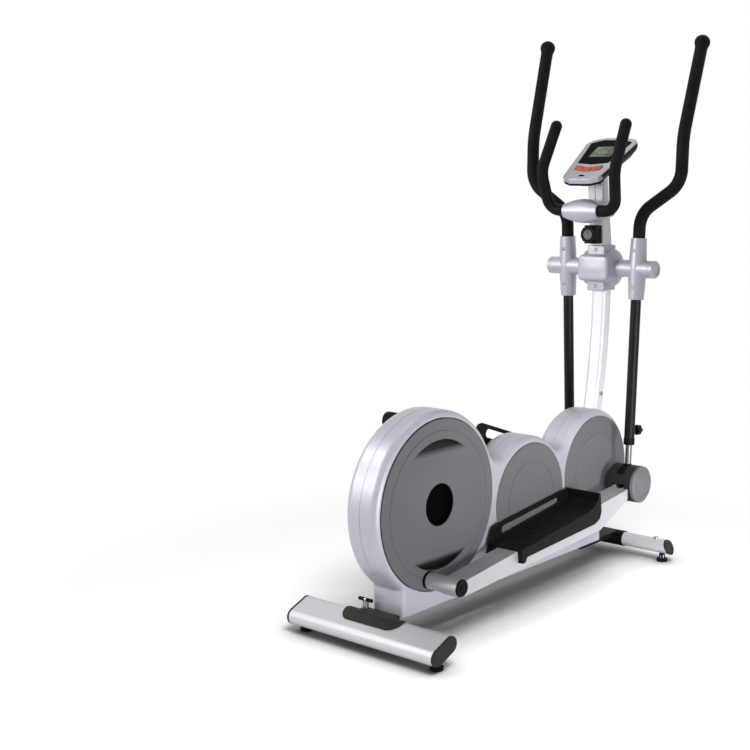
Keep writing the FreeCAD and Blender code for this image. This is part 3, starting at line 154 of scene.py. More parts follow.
def paintFloor():
    # Matt paint near the machine, and plain white past the fade. The paint is darkened by each spot's open
    # share,
    # a painted contact shadow under the machine. What the lamps leave short of white is lifted for seen rays
    # only:
    # the lift times a power of each spot's open share, so less under the machine, which deepens that painted
    # shadow
    material, tree = newMaterial("paintedFloor")
    place = addNode(tree, "ShaderNodeTexCoord")
    reach = addNode(tree, "ShaderNodeVectorMath", {0: place.outputs["Object"]}, operation="LENGTH")
    near, far = studio["floorFade"]
    fade = addNode(tree, "ShaderNodeMapRange", {
        "Value": reach.outputs["Value"], "From Min": near, "From Max": far}, interpolation_type="SMOOTHSTEP")
    seen = seenRay(tree)
    away = addNode(tree, "ShaderNodeMath", {0: fade.outputs[0], 1: seen}, operation="MULTIPLY")
    clear = addNode(tree, "ShaderNodeAmbientOcclusion", {"Color": linear(studio["floorColour"]),
                                                        "Distance": studio["contactReach"]}, samples=8)
    freely = addNode(tree, "ShaderNodeMath", {0: clear.outputs["AO"], 1: studio["contactPower"]},
                     operation="POWER")
    lift = addNode(tree, "ShaderNodeMath", {0: freely.outputs[0], 1: seen}, operation="MULTIPLY")
    lift = addNode(tree, "ShaderNodeMath", {0: lift.outputs[0], 1: studio["floorLift"]}, operation="MULTIPLY")
    # Painted contact shadow: the matt paint takes the open share's darkening under the machine
    matt = addNode(tree, "ShaderNodeBsdfDiffuse", {"Color": clear.outputs["Color"]})
    lifted = addNode(tree, "ShaderNodeEmission", {"Color": (1, 1, 1, 1), "Strength": lift.outputs[0]})
    shaded = addNode(tree, "ShaderNodeAddShader", {0: matt.outputs[0], 1: lifted.outputs[0]})
    plain = addNode(tree, "ShaderNodeEmission", {"Color": (1, 1, 1, 1), "Strength": 1.0})
    mixed = addNode(tree, "ShaderNodeMixShader",
                    {0: away.outputs[0], 1: shaded.outputs[0], 2: plain.outputs[0]})
    addNode(tree, "ShaderNodeOutputMaterial", {"Surface": mixed.outputs[0]})
    return material


def layFloor():
    # A regular polygon about the frame's origin
    turns = np.linspace(0, 2 * np.pi, studio["floorSides"], endpoint=False)
    rim = np.stack([np.cos(turns), np.sin(turns), 0 * turns], -1) * studio["floorRadius"]
    mesh = bpy.data.meshes.new("floor")
    mesh.from_pydata(rim.tolist(), [], [list(range(studio["floorSides"]))])
    floor = bpy.data.objects.new("floor", mesh)
    bpy.context.collection.objects.link(floor)
    floor.data.materials.append(paintFloor())
    return floor


def hangLamps(floor):
    # The floor has a lamp of its own, so that its white takes no more light on the machine. The low side lamp
    # leaves out the head's silver pieces, which keeps their right faces darker than the user's side
    lit = {"floor": bpy.data.collections.new("floorOnly"), "machine": bpy.data.collections.new("allButFloor"),
           "lowParts": bpy.data.collections.new("belowTheHead")}
    for receivers in lit.values():
        receivers.objects.link(floor)
    for name in studio["shaded"]:
        lit["lowParts"].objects.link(bpy.data.objects.get(name) or nodes[name])
    for target in ("machine", "lowParts"):
        for held in lit[target].collection_objects:
            held.light_linking.link_state = "EXCLUDE"
    for name, place, aim, size, spread, power, target in studio["lamps"]:
        lamp = bpy.data.lights.new(name, "AREA")
        lamp.shape = "DISK"
        lamp.size = size
        lamp.spread = math.radians(spread)
        lamp.energy = power
        holder = bpy.data.objects.new(name, lamp)
        holder.location = place
        holder.rotation_euler = (Vector(aim) - Vector(place)).to_track_quat("-Z", "Y").to_euler()
        bpy.context.collection.objects.link(holder)
        holder.light_linking.receiver_collection = lit[target]


# Finishes. Pattern sizes are real ones in millimetres, turned into Object coordinates in metres. All of them
# share where the cloud turns from shade to colour, how far an edge turns before it is worn and how much wear
# it then shows, how roughness drifts with the cloud, and how strongly the grain lifts
finishMix = {
    "shadeAt": 0.32,
    "colourAt": 0.68,
    "edgeTurn": (0.97, 0.8),
    "mostWorn": 0.55,
    "glossCloud": (0.3, 0.7),
    "roughDrift": (1.1, 0.92),
    "grainStrength": 0.3,
}


def perMetre(millimetres):
    # How many pattern cells of that size fit in a metre
    return 1000.0 / millimetres


def finishSurface(name, look):
    # Two shades drift into each other over the cloud size, worn edges show a third one, and a fine grain
    # lifts the surface. Edges are found where a softened normal turns away from the flat one. A scoop gets
    # painted shade: its colour darkens with its depth along X, as the shadow in a recess would
    material, tree = newMaterial(name)
    place = addNode(tree, "ShaderNodeTexCoord").outputs["Object"]
    if "stretch" in look:
        place = addNode(tree, "ShaderNodeVectorMath", {0: place, 1: look["stretch"]},
                        operation="MULTIPLY").outputs[0]
    cloud = addNode(tree, "ShaderNodeTexNoise", {"Vector": place, "Scale": perMetre(look["cloudMm"]),
                                                 "Detail": 3.0, "Roughness": 0.55})
    tone = addNode(tree, "ShaderNodeValToRGB", {"Fac": cloud.outputs["Fac"]})
    tone.color_ramp.elements[0].position = finishMix["shadeAt"]
    tone.color_ramp.elements[0].color = linear(look["shade"])
    tone.color_ramp.elements[1].position = finishMix["colourAt"]
    tone.color_ramp.elements[1].color = linear(look["colour"])
    tone = tone.outputs["Color"]
    # Painted shade: a scoop's colour darkens towards its deep edge, as the shadow in the recess would
    if "scoop" in look:
        flush, deep, dark = look["scoop"]
        depth = addNode(tree, "ShaderNodeSeparateXYZ", {0: place})
        depth = addNode(tree, "ShaderNodeMath", {0: depth.outputs["X"]}, operation="ABSOLUTE")
        depth = addNode(tree, "ShaderNodeMapRange",
                        {"Value": depth.outputs[0], "From Min": flush, "From Max": deep})
        tone = addNode(tree, "ShaderNodeMix",
                       {"Factor": depth.outputs["Result"], "A": tone, "B": linear(dark)},
                       data_type="RGBA").outputs["Result"]
    soft = addNode(tree, "ShaderNodeBevel", {"Radius": look["edgeMm"] / 1000}, samples=4)
    flat = addNode(tree, "ShaderNodeNewGeometry")
    turn = addNode(tree, "ShaderNodeVectorMath", {0: soft.outputs["Normal"], 1: flat.outputs["Normal"]},
                   operation="DOT_PRODUCT")
    straight, turned = finishMix["edgeTurn"]
    worn = addNode(tree, "ShaderNodeMapRange", {
        "Value": turn.outputs["Value"], "From Min": straight, "From Max": turned,
        "To Min": 0.0, "To Max": finishMix["mostWorn"]})
    tinted = addNode(tree, "ShaderNodeMix",
                     {"Factor": worn.outputs["Result"], "A": tone, "B": linear(look["wear"])},
                     data_type="RGBA")
    thin, thick = finishMix["glossCloud"]
    rougher, smoother = (look["rough"] * drift for drift in finishMix["roughDrift"])
    gloss = addNode(tree, "ShaderNodeMapRange", {
        "Value": cloud.outputs["Fac"], "From Min": thin, "From Max": thick,
        "To Min": rougher, "To Max": smoother})
    grain = addNode(tree, look.get("grain", "ShaderNodeTexNoise"),
                    {"Vector": place, "Scale": perMetre(look["grainMm"])})
    bump = addNode(tree, "ShaderNodeBump", {
        "Height": grain.outputs[0], "Strength": finishMix["grainStrength"],
        "Distance": look["grainDepthMm"] / 1000, "Normal": soft.outputs["Normal"]})
    shader = addNode(tree, "ShaderNodeBsdfPrincipled", {
        "Base Color": tinted.outputs["Result"], "Roughness": gloss.outputs["Result"],
        "Metallic": look.get("metallic", 0.0), "Normal": bump.outputs["Normal"]})
    if "ior" in look:
        shader.inputs["IOR"].default_value = look["ior"]
    if "coat" in look:
        shader.inputs["Coat Weight"].default_value = look["coat"]
        shader.inputs["Coat Roughness"].default_value = look["coatRough"]
    addNode(tree, "ShaderNodeOutputMaterial", {"Surface": shader.outputs["BSDF"]})
    return material


# Silver lacquer sprayed on moulded ABS: soft metallic sheen under a thin clear coat, faint orange peel
silverLacquer = finishSurface("silverLacquer", {
    "colour": "#BDBCC6", "shade": "#B9B8C2", "wear": "#CFCFD6", "rough": 0.42, "metallic": 0.3,
    "cloudMm": 160, "grainMm": 3.2, "grainDepthMm": 0.05, "edgeMm": 1.2, "coat": 0.25, "coatRough": 0.22})
# The same lacquer on the die-cast pivot block, whose corners it leaves soft
silverCasting = finishSurface("lacqueredCasting", {
    "colour": "#BDBCC6", "shade": "#B6B5BF", "wear": "#C9C9D1", "rough": 0.45, "metallic": 0.3, "cloudMm": 90,
    "grainMm": 3.2, "grainDepthMm": 0.08, "edgeMm": 5.0, "coat": 0.2, "coatRough": 0.25})
# Satin ABS with a spark grain, drawn coarser than life so that it shows
greyAbs = finishSurface("satinGreyAbs", {
    "colour": "#6C6C70", "shade": "#69696D", "wear": "#88888B", "rough": 0.58, "ior": 1.35, "cloudMm": 120,
    "grainMm": 1.8, "grainDepthMm": 0.1, "edgeMm": 1.0})
# The same ABS on the crank discs, whose scoops get painted shade, black towards their deep edge
discAbs = finishSurface("sprayedGreyAbs", {
    "colour": "#6C6C70", "shade": "#69696D", "wear": "#88888B", "rough": 0.58, "ior": 1.35, "cloudMm": 120,
    "grainMm": 1.8, "grainDepthMm": 0.1, "edgeMm": 1.0, "scoop": (0.0567, 0.0515, "#030303")})
# Black ABS with a spark grain, drawn coarser than life so that it shows
blackAbs = finishSurface("grainedBlackAbs", {
    "colour": "#080808", "shade": "#060606", "wear": "#1E1E1F", "rough": 0.52, "ior": 1.2, "cloudMm": 60,
    "grainMm": 1.6, "grainDepthMm": 0.12, "edgeMm": 1.0})
# Matt black ABS of the hub caps, darkened further as painted shade for the hole they sit deep in
mattBlackAbs = finishSurface("mattBlackAbs", {
    "colour": "#040404", "shade": "#030303", "wear": "#0A0A0A", "rough": 0.85, "ior": 1.1, "cloudMm": 60,
    "grainMm": 1.6, "grainDepthMm": 0.12, "edgeMm": 1.0})
# Charcoal ABS of caps and pads, a little chalky from weather
charcoalAbs = finishSurface("charcoalAbs", {
    "colour": "#272725", "shade": "#222221", "wear": "#434341", "rough": 0.55, "ior": 1.28, "cloudMm": 45,
    "grainMm": 1.6, "grainDepthMm": 0.12, "edgeMm": 1.0})
# Glass-filled polypropylene of the footplates, with a leathery moulded grain
footplatePlastic = finishSurface("filledPolypropylene", {
    "colour": "#0F0F0D", "shade": "#0A0A0A", "wear": "#333335", "rough": 0.55, "ior": 1.22, "cloudMm": 40,
    "grain": "ShaderNodeTexVoronoi", "grainMm": 2.4, "grainDepthMm": 0.2, "edgeMm": 1.6})
# Satin anodised aluminium extrusion: draw lines along its length, drawn wider than life so that they show
anodised = finishSurface("anodisedAluminium", {
    "colour": "#D3D4D8", "shade": "#CDCED2", "wear": "#DFDFE2", "rough": 0.46, "metallic": 0.4, "cloudMm": 6,
    "grainMm": 1.4, "grainDepthMm": 0.02, "edgeMm": 0.8, "stretch": (0.02, 1.0, 1.0)})
# Silver powder coat on steel tube: faint orange peel
silverPowder = finishSurface("silverPowderCoat", {
    "colour": "#C2C2C6", "shade": "#BDBDC2", "wear": "#D2D2D5", "rough": 0.4, "metallic": 0.35,
    "cloudMm": 120, "grainMm": 2.8, "grainDepthMm": 0.06, "edgeMm": 1.5, "coat": 0.15, "coatRough": 0.25})
# Pale silver powder coat of the mast
paleSilver = finishSurface("paleSilverCoat", {
    "colour": "#E2E2E7", "shade": "#DDDDE3", "wear": "#ECECEF", "rough": 0.4, "metallic": 0.15,
    "cloudMm": 120, "grainMm": 2.8, "grainDepthMm": 0.06, "edgeMm": 1.2, "coat": 0.15, "coatRough": 0.25})
# Black powder coat on steel tube: half gloss with orange peel
blackPowder = finishSurface("blackPowderCoat", {
    "colour": "#0C110F", "shade": "#090C0B", "wear": "#252927", "rough": 0.4, "ior": 1.25, "cloudMm": 70,
    "grainMm": 2.6, "grainDepthMm": 0.08, "edgeMm": 0.8})
# Bright zinc plate on turned steel
zincPlate = finishSurface("zincPlate", {
    "colour": "#A4A5A8", "shade": "#97989C", "wear": "#B8B8BA", "rough": 0.34, "metallic": 1.0, "cloudMm": 25,
    "grainMm": 1.2, "grainDepthMm": 0.02, "edgeMm": 0.4})
# Satin chrome plate on the lower arms, greyer than the zinc
satinChrome = finishSurface("satinChrome", {
    "colour": "#7E7F82", "shade": "#757679", "wear": "#97989A", "rough": 0.36, "metallic": 1.0, "cloudMm": 30,
    "grainMm": 1.2, "grainDepthMm": 0.02, "edgeMm": 0.4})
# Closed-cell foam sleeve: small open pits in a dull skin, drawn at twice their size so that they show
foamSleeve = finishSurface("closedCellFoam", {
    "colour": "#0B0B0A", "shade": "#080807", "wear": "#0B0B0A", "rough": 0.62, "ior": 1.22, "cloudMm": 35,
    "grain": "ShaderNodeTexVoronoi", "grainMm": 1.6, "grainDepthMm": 0.25, "edgeMm": 0.5})
# Moulded natural rubber, dull
blackRubber = finishSurface("mouldedRubber", {
    "colour": "#0D0D0D", "shade": "#090909", "wear": "#1E1E1E", "rough": 0.75, "ior": 1.22, "cloudMm": 30,
    "grainMm": 1.2, "grainDepthMm": 0.1, "edgeMm": 0.8})
# Turned grey iron, lightly oiled
turnedIron = finishSurface("turnedIron", {
    "colour": "#4A4A4C", "shade": "#3F3F42", "wear": "#6A6A6C", "rough": 0.42, "metallic": 1.0, "cloudMm": 30,
    "grainMm": 1.5, "grainDepthMm": 0.05, "edgeMm": 0.8})
# Smoked acrylic window: hard gloss, almost black
smokedAcrylic = finishSurface("smokedAcrylic", {
    "colour": "#060807", "shade": "#040505", "wear": "#121615", "rough": 0.16, "ior": 1.06, "cloudMm": 60,
    "grainMm": 6.0, "grainDepthMm": 0.01, "edgeMm": 0.4})
# Silicone rubber keys: satin, slightly paler where fingers rub the edges
siliconeKey = finishSurface("siliconeRubber", {
    "colour": "#DC5E3A", "shade": "#D25735", "wear": "#E58468", "rough": 0.45, "ior": 1.4, "cloudMm": 12,
    "grainMm": 1.2, "grainDepthMm": 0.05, "edgeMm": 1.2})
# Display film: grey-green with a soft mottle
displayFilm = finishSurface("displayFilm", {
    "colour": "#B9C3AC", "shade": "#66735A", "wear": "#B9C3AC", "rough": 0.3, "ior": 1.3, "cloudMm": 70,
    "grainMm": 0.8, "grainDepthMm": 0.01, "edgeMm": 0.2})
# Printed ink of the display's digits
displayInk = finishSurface("displayInk", {
    "colour": "#1B211A", "shade": "#161B15", "wear": "#1B211A", "rough": 0.4, "ior": 1.35, "cloudMm": 6,
    "grainMm": 0.8, "grainDepthMm": 0.01, "edgeMm": 0.2})
print("finishes mixed")

# The finish that each CAD node wears
wearers = {
    silverCasting: ["pivot_block"],
    silverLacquer: ["housing_right", "housing_left", "handle_fairing", "console_bezel",
                    "arm_sleeve_right", "arm_sleeve_left", "axle_caps"],
    greyAbs: ["mid_covers", "front_covers", "pivot_bolt_right", "pivot_bolt_left", "drive_pulley"],
    discAbs: ["crank_disc_right", "crank_disc_left"],
    mattBlackAbs: ["hub_caps"],
    blackAbs: ["front_clamp", "console_back", "knob_box", "resistance_knob", "arm_knob_right",
               "arm_knob_left", "crank_pin_right", "crank_pin_left"],
    charcoalAbs: ["stabilizer_caps", "rear_saddle", "pivot_cover_right", "pivot_cover_left"],
    footplatePlastic: ["pedal_plate_right", "pedal_plate_left"],
    anodised: ["rear_stabilizer", "front_stabilizer"],
    silverPowder: ["pedal_bar_right", "pedal_bar_left"],
    paleSilver: ["mast", "head_post"],
    blackPowder: ["main_frame", "arm_tube_right", "arm_tube_left", "brake_yoke"],
    zincPlate: ["crank_bearings", "pivot_axle", "crank_axle", "flywheel_shaft", "hand_screw"],
    satinChrome: ["lower_arm_right", "lower_arm_left"],
    foamSleeve: ["handle_grip_right", "handle_grip_left", "fixed_horns"],
    blackRubber: ["drive_belt", "rear_foot_right", "rear_foot_left", "front_foot_right", "front_foot_left"],
    turnedIron: ["flywheel"],
    smokedAcrylic: ["console_window"],
    siliconeKey: ["key_left", "key_centre", "key_right"],
}
for finish, names in wearers.items():
    for name in names:
        slots = nodes[name].material_slots
        for slot in slots:
            slot.material = finish
        if not slots:
            nodes[name].data.materials.append(finish)
print("finishes on", sum(len(names) for names in wearers.values()), "nodes")


# Surfaces: arrays of rows, columns and xyz whose columns close into a ring
meshing = {"weld": 1e-6, "flat": 1e-7, "sharpAngle": 38}
alongX, alongY, alongZ = np.eye(3)


def ringQuads(rows, columns, start):
    # Each quad joins a point and the next one round its ring to the same two points of the ring after
    row, column = np.meshgrid(np.arange(rows - 1), np.arange(columns), indexing="ij")
    after = (column + 1) % columns
    here, there = row * columns, (row + 1) * columns
    return np.stack([here + column, here + after, there + after, there + column], -1).reshape(-1, 4) + start


def closeEnds(surface):
    # Adds a row at each end that has shrunk to that end ring's middle, unless the rows already meet as a hoop
    if np.allclose(surface[0], surface[-1], atol=meshing["flat"]):
        return surface
    first = np.broadcast_to(surface[:1].mean(1, keepdims=True), surface[:1].shape)
    last = np.broadcast_to(surface[-1:].mean(1, keepdims=True), surface[-1:].shape)
    return np.concatenate([first, surface, last])


def makePiece(name, surfaces, finish, body):
    # Joins the closed surfaces in one mesh, welds what meets, and shades it smooth up to the sharp angle
    surfaces = [closeEnds(surface) for surface in surfaces]
    counts = np.cumsum([0] + [surface.shape[0] * surface.shape[1] for surface in surfaces])
    quads = [ringQuads(*surface.shape[:2], start) for surface, start in zip(surfaces, counts)]
    mesh = bpy.data.meshes.new(name)
    points = np.concatenate([surface.reshape(-1, 3) for surface in surfaces])
    mesh.from_pydata(points.tolist(), [], np.concatenate(quads).tolist())
    work = bmesh.new()
    work.from_mesh(mesh)
    bmesh.ops.remove_doubles(work, verts=work.verts, dist=meshing["weld"])
    bmesh.ops.dissolve_degenerate(work, dist=meshing["flat"], edges=work.edges)
    bmesh.ops.recalc_face_normals(work, faces=work.faces)
    work.to_mesh(mesh)
    work.free()
    mesh.polygons.foreach_set("use_smooth", np.ones(len(mesh.polygons), bool))
    mesh.set_sharp_from_angle(angle=math.radians(meshing["sharpAngle"]))
    piece = bpy.data.objects.new(name, mesh)
    bpy.context.collection.objects.link(piece)
    piece.data.materials.append(finish)
    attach(piece, body)
    return piece


def unit(vectors):
    # Each vector divided by its own length
    return vectors / np.linalg.norm(vectors, axis=-1, keepdims=True)


def tiltAboutX(points, angle, spot=(0, 0, 0)):
    # Turns points about X by an angle in radians, then carries them to spot
    c, s = math.cos(angle), math.sin(angle)
    return np.asarray(points) @ np.array([[1, 0, 0], [0, c, s], [0, -s, c]]) + np.asarray(spot)


def spun(spot, facing, profile, around=48, hexRows=()):
    # Each profile row (distance along facing, radius) becomes a ring about facing. A hexagonal row's radius
    # is multiplied by cos 30 degrees over the cosine of the angle off the nearest flat's middle
    facing = unit(np.array(facing, float))
    helper = alongY if abs(facing[0]) > abs(facing[1]) else alongX
    across = unit(np.cross(facing, helper))
    up = np.cross(facing, across)
    angle = np.linspace(0, 2 * np.pi, around, endpoint=False)
    profile = np.array(profile, float)
    radius = np.repeat(profile[:, 1:], around, 1)
    hexagon = math.cos(math.pi / 6) / np.cos(angle % (math.pi / 3) - math.pi / 6)
    radius[list(hexRows)] *= hexagon
    ring = np.cos(angle)[:, None] * across + np.sin(angle)[:, None] * up
    return np.array(spot) + profile[:, :1, None] * facing + radius[..., None] * ring


def carried(path, profile, reference):
    # Each profile point stands off the path by its first value along tangent x reference, which is sideways,
    # and by its second along sideways x tangent
    tangent = unit(np.gradient(path, axis=0))
    sideways = unit(np.cross(tangent, reference))
    lift = np.cross(sideways, tangent)
    return path[:, None] + sideways[:, None] * profile[..., :1] + lift[:, None] * profile[..., 1:]


def roundedRoute(corners, bends, step, bendRows=25):
    # Straight runs joined by arcs that touch both runs, then sampled evenly along the whole length
    corners = np.array(corners, float)
    pieces = [corners[:1]]
    for before, corner, after, bend in zip(corners, corners[1:], corners[2:], bends):
        into, out = unit(corner - before), unit(after - corner)
        half = math.acos(np.clip(into @ out, -1, 1)) / 2
        inward = unit(out - into)
        centre = corner + inward * bend / math.cos(half)
        sweep = np.linspace(-half, half, bendRows)[:, None]
        pieces.append(centre + bend * (np.sin(sweep) * unit(into + out) - np.cos(sweep) * inward))
    line = np.concatenate(pieces + [corners[-1:]])
    length = np.concatenate([[0], np.cumsum(np.linalg.norm(np.diff(line, axis=0), axis=1))])
    even = np.linspace(0, length[-1], int(length[-1] / step) + 1)
    return np.stack([np.interp(even, length, line[:, axis]) for axis in range(3)], -1), even


def plateOf(outline, low, high, edge):
    # A flat outline (n, 2) lifted from low to high, with its upper edge drawn in towards the middle
    middle = outline.mean(0)
    inner = outline + unit(middle - outline) * edge
    heights = [(outline, low), (outline, high - edge), (inner, high)]
    return np.stack([np.column_stack([flat, np.full(len(flat), height)]) for flat, height in heights])


def roundedBox(left, low, right, up, radius, cornerRows=7):
    # Four quarter arcs in turn, one about each corner's centre
    quarter = np.linspace(0, np.pi / 2, cornerRows)
    centres = [(right - radius, up - radius), (left + radius, up - radius), (left + radius, low + radius),
               (right - radius, low + radius)]
    turns = [quarter + step * np.pi / 2 for step in range(4)]
    return np.concatenate([np.array(centre) + radius * np.stack([np.cos(turn), np.sin(turn)], -1)
                           for centre, turn in zip(centres, turns)])


# The user's right is +X, and both arms swing about one axle
sides = {"right": 1, "left": -1}
axleY, axleZ = joints["arm_right_swing"]["pos_m"][1:]
axleSpot = (0, axleY, axleZ)


def armLean(word):
    # The angle between upright and the way that the arm's lower end slides
    slide = joints[f"lower_arm_{word}_slide"]["axis"]
    return math.atan2(-slide[1], slide[2])


armAngle = {word: armLean(word) for word in sides}

# Foam sleeves of the moving handles and the fixed horns, in metres. Handle routes start from the swing axle,
# horn routes from the fairing's middle
foam = {"step": 0.004, "around": 40, "tipRows": 12, "tipLong": 0.98, "tipLeast": 0.0004}
moving = {
    "armX": 0.128,
    "route": [(0, 0, 0.0938), (0, 0, 0.168), (0.135, 0.001, 0.260), (0.132, 0.005, 0.400),
              (0.132, 0.091, 0.686)],
    "bends": (0.080, 0.080, 0.260),
    "radius": 0.0190,
    "clubRadius": 0.0238,
    "clubLength": 0.020,
}
fixed = {
    "back": 0.118,
    "rise": 0.177,
    "route": [(0.032, 0, 0), (0.119, 0, 0.002), (0.131, -0.030, 0.120), (0.125, 0.040, 0.258)],
    "bends": (0.042, 0.075),
    "radius": 0.0174,
    "clubRadius": 0.0178,
    "clubLength": 0.05,
}


def foamTube(corners, spec):
    # A circle carried along the route. Its radius eases up to the club end's and closes there as a half ball
    path, along = roundedRoute(corners, spec["bends"], foam["step"])
    club = spec["clubRadius"]
    tail = unit(path[-1] - path[-2])
    dome = np.sin(np.linspace(0, np.pi / 2, foam["tipRows"]))[1:]
    path = np.concatenate([path, path[-1] + tail * club * foam["tipLong"] * dome[:, None]])
    ease = np.clip((along - along[-1] + spec["clubLength"]) / spec["clubLength"], 0, 1)
    radius = spec["radius"] + (club - spec["radius"]) * ease ** 2 * (3 - 2 * ease)
    radius = np.concatenate([radius, club * np.sqrt(np.clip(1 - dome ** 2, foam["tipLeast"], 1))])
    angle = np.linspace(0, 2 * np.pi, foam["around"], endpoint=False)
    circle = np.stack([np.cos(angle), np.sin(angle)], -1)
    return carried(path, radius[:, None, None] * circle, alongY)


hornTubes = []
for word, side in sides.items():
    corners = np.array(moving["route"]) * (side, 1, 1) + (side * moving["armX"], 0, 0)
    tube = foamTube(tiltAboutX(corners, armAngle[word], axleSpot), moving)
    grip = makePiece(f"handleFoam_{word}", [tube], foamSleeve, f"arm_{word}")
    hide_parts(f"handle_grip_{word}")
    corners = np.array(fixed["route"]) * (side, 1, 1) + (0, axleY - fixed["back"], axleZ + fixed["rise"])
    hornTubes.append(foamTube(corners, fixed))
horns = makePiece("hornFoam", hornTubes, foamSleeve, "base")
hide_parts("fixed_horns")
print("foam sleeves drawn")

# Button-head screws with hexagon sockets. Profile rows are distance along the screw and radius, both in head
# radii
screws = {
    "profile": [(-0.3, 1), (0.1, 1), (0.32, 0.93), (0.5, 0.78), (0.6, 0.6), (0.6, 0.54), (0.15, 0.5),
                (0.12, 0.2)],
    "socketRows": (5, 6),
    "around": 36,
    "sleeveRadius": 0.0052,
    "sleeveRise": 0.055,
    "sleeveFace": 0.0258,
    "tabRadius": 0.0055,
    "tabRise": 0.056,
    "tabSetBack": 0.020,
    "mastRadius": 0.0075,
    "mastSpot": (0.024, 0.4556, 0.5326),
    "tubeRadius": 0.008,
    "tubeOut": 0.178,
    "tubeSink": 0.0004,
}


def buttonHead(spot, facing, radius):
    # The profile times the head's radius, spun about the way that the head faces
    return spun(spot, facing, np.array(screws["profile"]) * radius, screws["around"], screws["socketRows"])


for word, side in sides.items():
    facing = tiltAboutX((0, -1, 0), armAngle[word])
    spots = [(side * moving["armX"], -screws["sleeveFace"], rise * screws["sleeveRise"]) for rise in (1, -1)]
    heads = [buttonHead(spot, facing, screws["sleeveRadius"])
             for spot in tiltAboutX(spots, armAngle[word], axleSpot)]
    makePiece(f"sleeveScrews_{word}", heads, zincPlate, f"arm_{word}")
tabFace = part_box("pivot_block")[0][1] + screws["tabSetBack"]
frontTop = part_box("front_stabilizer")[1][2]
frontY = joints["front_foot_right_turn"]["pos_m"][1]
mastX, mastY, mastZ = screws["mastSpot"]
heads = []
for side in sides.values():
    heads += [buttonHead((0, tabFace, axleZ + side * screws["tabRise"]), (0, -1, 0), screws["tabRadius"]),
              buttonHead((side * mastX, mastY, mastZ), (side, 0, 0), screws["mastRadius"]),
              buttonHead((side * screws["tubeOut"], frontY, frontTop - screws["tubeSink"]), (0, 0, 1),
                         screws["tubeRadius"])]
makePiece("frameScrews", heads, zincPlate, "base")
print("screws set")

# Rounded casting in place of the square pivot block: a barrel round the axle, a user's face and an upright
# tab block. The barrel's rows are distance along the axle and radius
casting = {
    "barrel": [(-0.062, 0.027), (-0.0485, 0.0525), (-0.0455, 0.0555), (-0.042, 0.057), (0.042, 0.057),
               (0.0455, 0.0555), (0.0485, 0.0525), (0.062, 0.027)],
    "barrelAround": 72,
    "face": {"half": 0.055, "low": -0.040, "high": 0.040, "back": 0.058, "front": 0, "corner": 0.014,
             "edge": 0.009},
    "tabs": {"half": 0.031, "low": -0.071, "high": 0.070, "back": 0.038, "front": 0.027, "corner": 0.004,
             "edge": 0.003},
    "edgeRows": 7,
    "leastCorner": 0.001,
}


def castBlock(half, low, high, back, front, corner, edge):
    # Rounded boxes about the axle, one behind another, that shrink along a quarter circle at the user's end
    turn = np.linspace(0, np.pi / 2, casting["edgeRows"])
    insets = np.concatenate([[0], edge * (1 - np.cos(turn))])
    depths = np.concatenate([[front], edge - back - edge * np.sin(turn)])
    rings = [roundedBox(inset - half, low + inset, half - inset, high - inset,
                        max(corner - inset, casting["leastCorner"])) for inset in insets]
    return np.stack([np.column_stack([ring[:, 0], np.full(len(ring), axleY + depth), axleZ + ring[:, 1]])
                     for ring, depth in zip(rings, depths)])


block = makePiece("pivotCasting", [spun(axleSpot, (1, 0, 0), casting["barrel"], casting["barrelAround"]),
                                   castBlock(**casting["face"]), castBlock(**casting["tabs"])],
                  silverCasting, "base")
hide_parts("pivot_block")
print("pivot casting drawn")

# Console display, on the window that the bezel frames. Heights are measured square to the console's face.
# Each line of figures gives its text, left edge, foot, height, width and stroke
display = {
    "back": 0.041,
    "rise": 0.334,
    "tilt": 31.0,
    "windowTop": -0.002,
    "half": 0.037,
    "low": 0.018,
    "up": 0.076,
    "rim": 0.006,
    "frameStand": (-0.0005, 0.0006, 0.0004),
    "filmCorner": 0.003,
    "filmStand": (0, 0.0010, 0.0003),
    "inkStand": (0.0007, 0.0013, 0.0001),
    "lines": [("1250", -0.031, 0.050, 0.019, 0.0098, 0.0021), ("068", -0.031, 0.025, 0.014, 0.0075, 0.0017)],
    "pitch": 1.5,
    "levels": 4,
    "levelSpot": (0.005, 0.0245),
    "levelStep": 0.0072,
    "levelWide": 0.0055,
    "levelRise": 0.0035,
    "ovalHalf": (0.011, 0.0045),
    "ovalRow": -0.098,
    "ovalStand": (-0.001, 0.0006, 0.0006),
    "ovalAround": 40,
    "screwRadius": 0.004,
    "screwOut": 0.042,
    "screwRows": (-0.062, 0.088),
    "screwFace": -0.038,
}
consoleSpot = (0, axleY - display["back"], axleZ + display["rise"])
consoleTilt = math.radians(display["tilt"])


def onConsole(surface):
    # From the console's own frame, with its face level, to the machine's
    return tiltAboutX(surface, consoleTilt, consoleSpot)


def onWindow(outline, stand):
    # A plate whose lower and upper heights are measured off the window, with its upper edge drawn in
    low, high, edge = stand
    return onConsole(plateOf(outline, display["windowTop"] + low, display["windowTop"] + high, edge))


def digitStrokes(text, left, low, tall, wide, stroke):
    # Each lit stroke of a seven-stroke figure is a bar with pointed ends, laid level or upright
    lit = {"0": "abcdef", "1": "bc", "2": "abged", "3": "abgcd", "4": "fgbc", "5": "afgcd", "6": "afgedc",
           "7": "abc", "8": "abcdefg", "9": "abfgcd"}
    places = {"a": (0, 1, 0), "g": (0, 0.5, 0), "d": (0, 0, 0), "f": (0, 0.5, 1), "b": (1, 0.5, 1),
              "e": (0, 0, 1), "c": (1, 0, 1)}
    point, shoulder, half = 0.6 * stroke, 1.1 * stroke, 0.5 * stroke
    bars = []
    for index, letter in enumerate(text):
        start = left + index * wide * display["pitch"]
        for segment in lit[letter]:
            across, up, upright = places[segment]
            long = tall / 2 if upright else wide
            bar = np.array([(point, 0), (shoulder, -half), (long - shoulder, -half), (long - point, 0),
                            (long - shoulder, half), (shoulder, half)])
            bar = bar[:, ::-1] * (-1, 1) if upright else bar
            bars.append(bar + (start + across * wide, low + up * tall))
    return bars


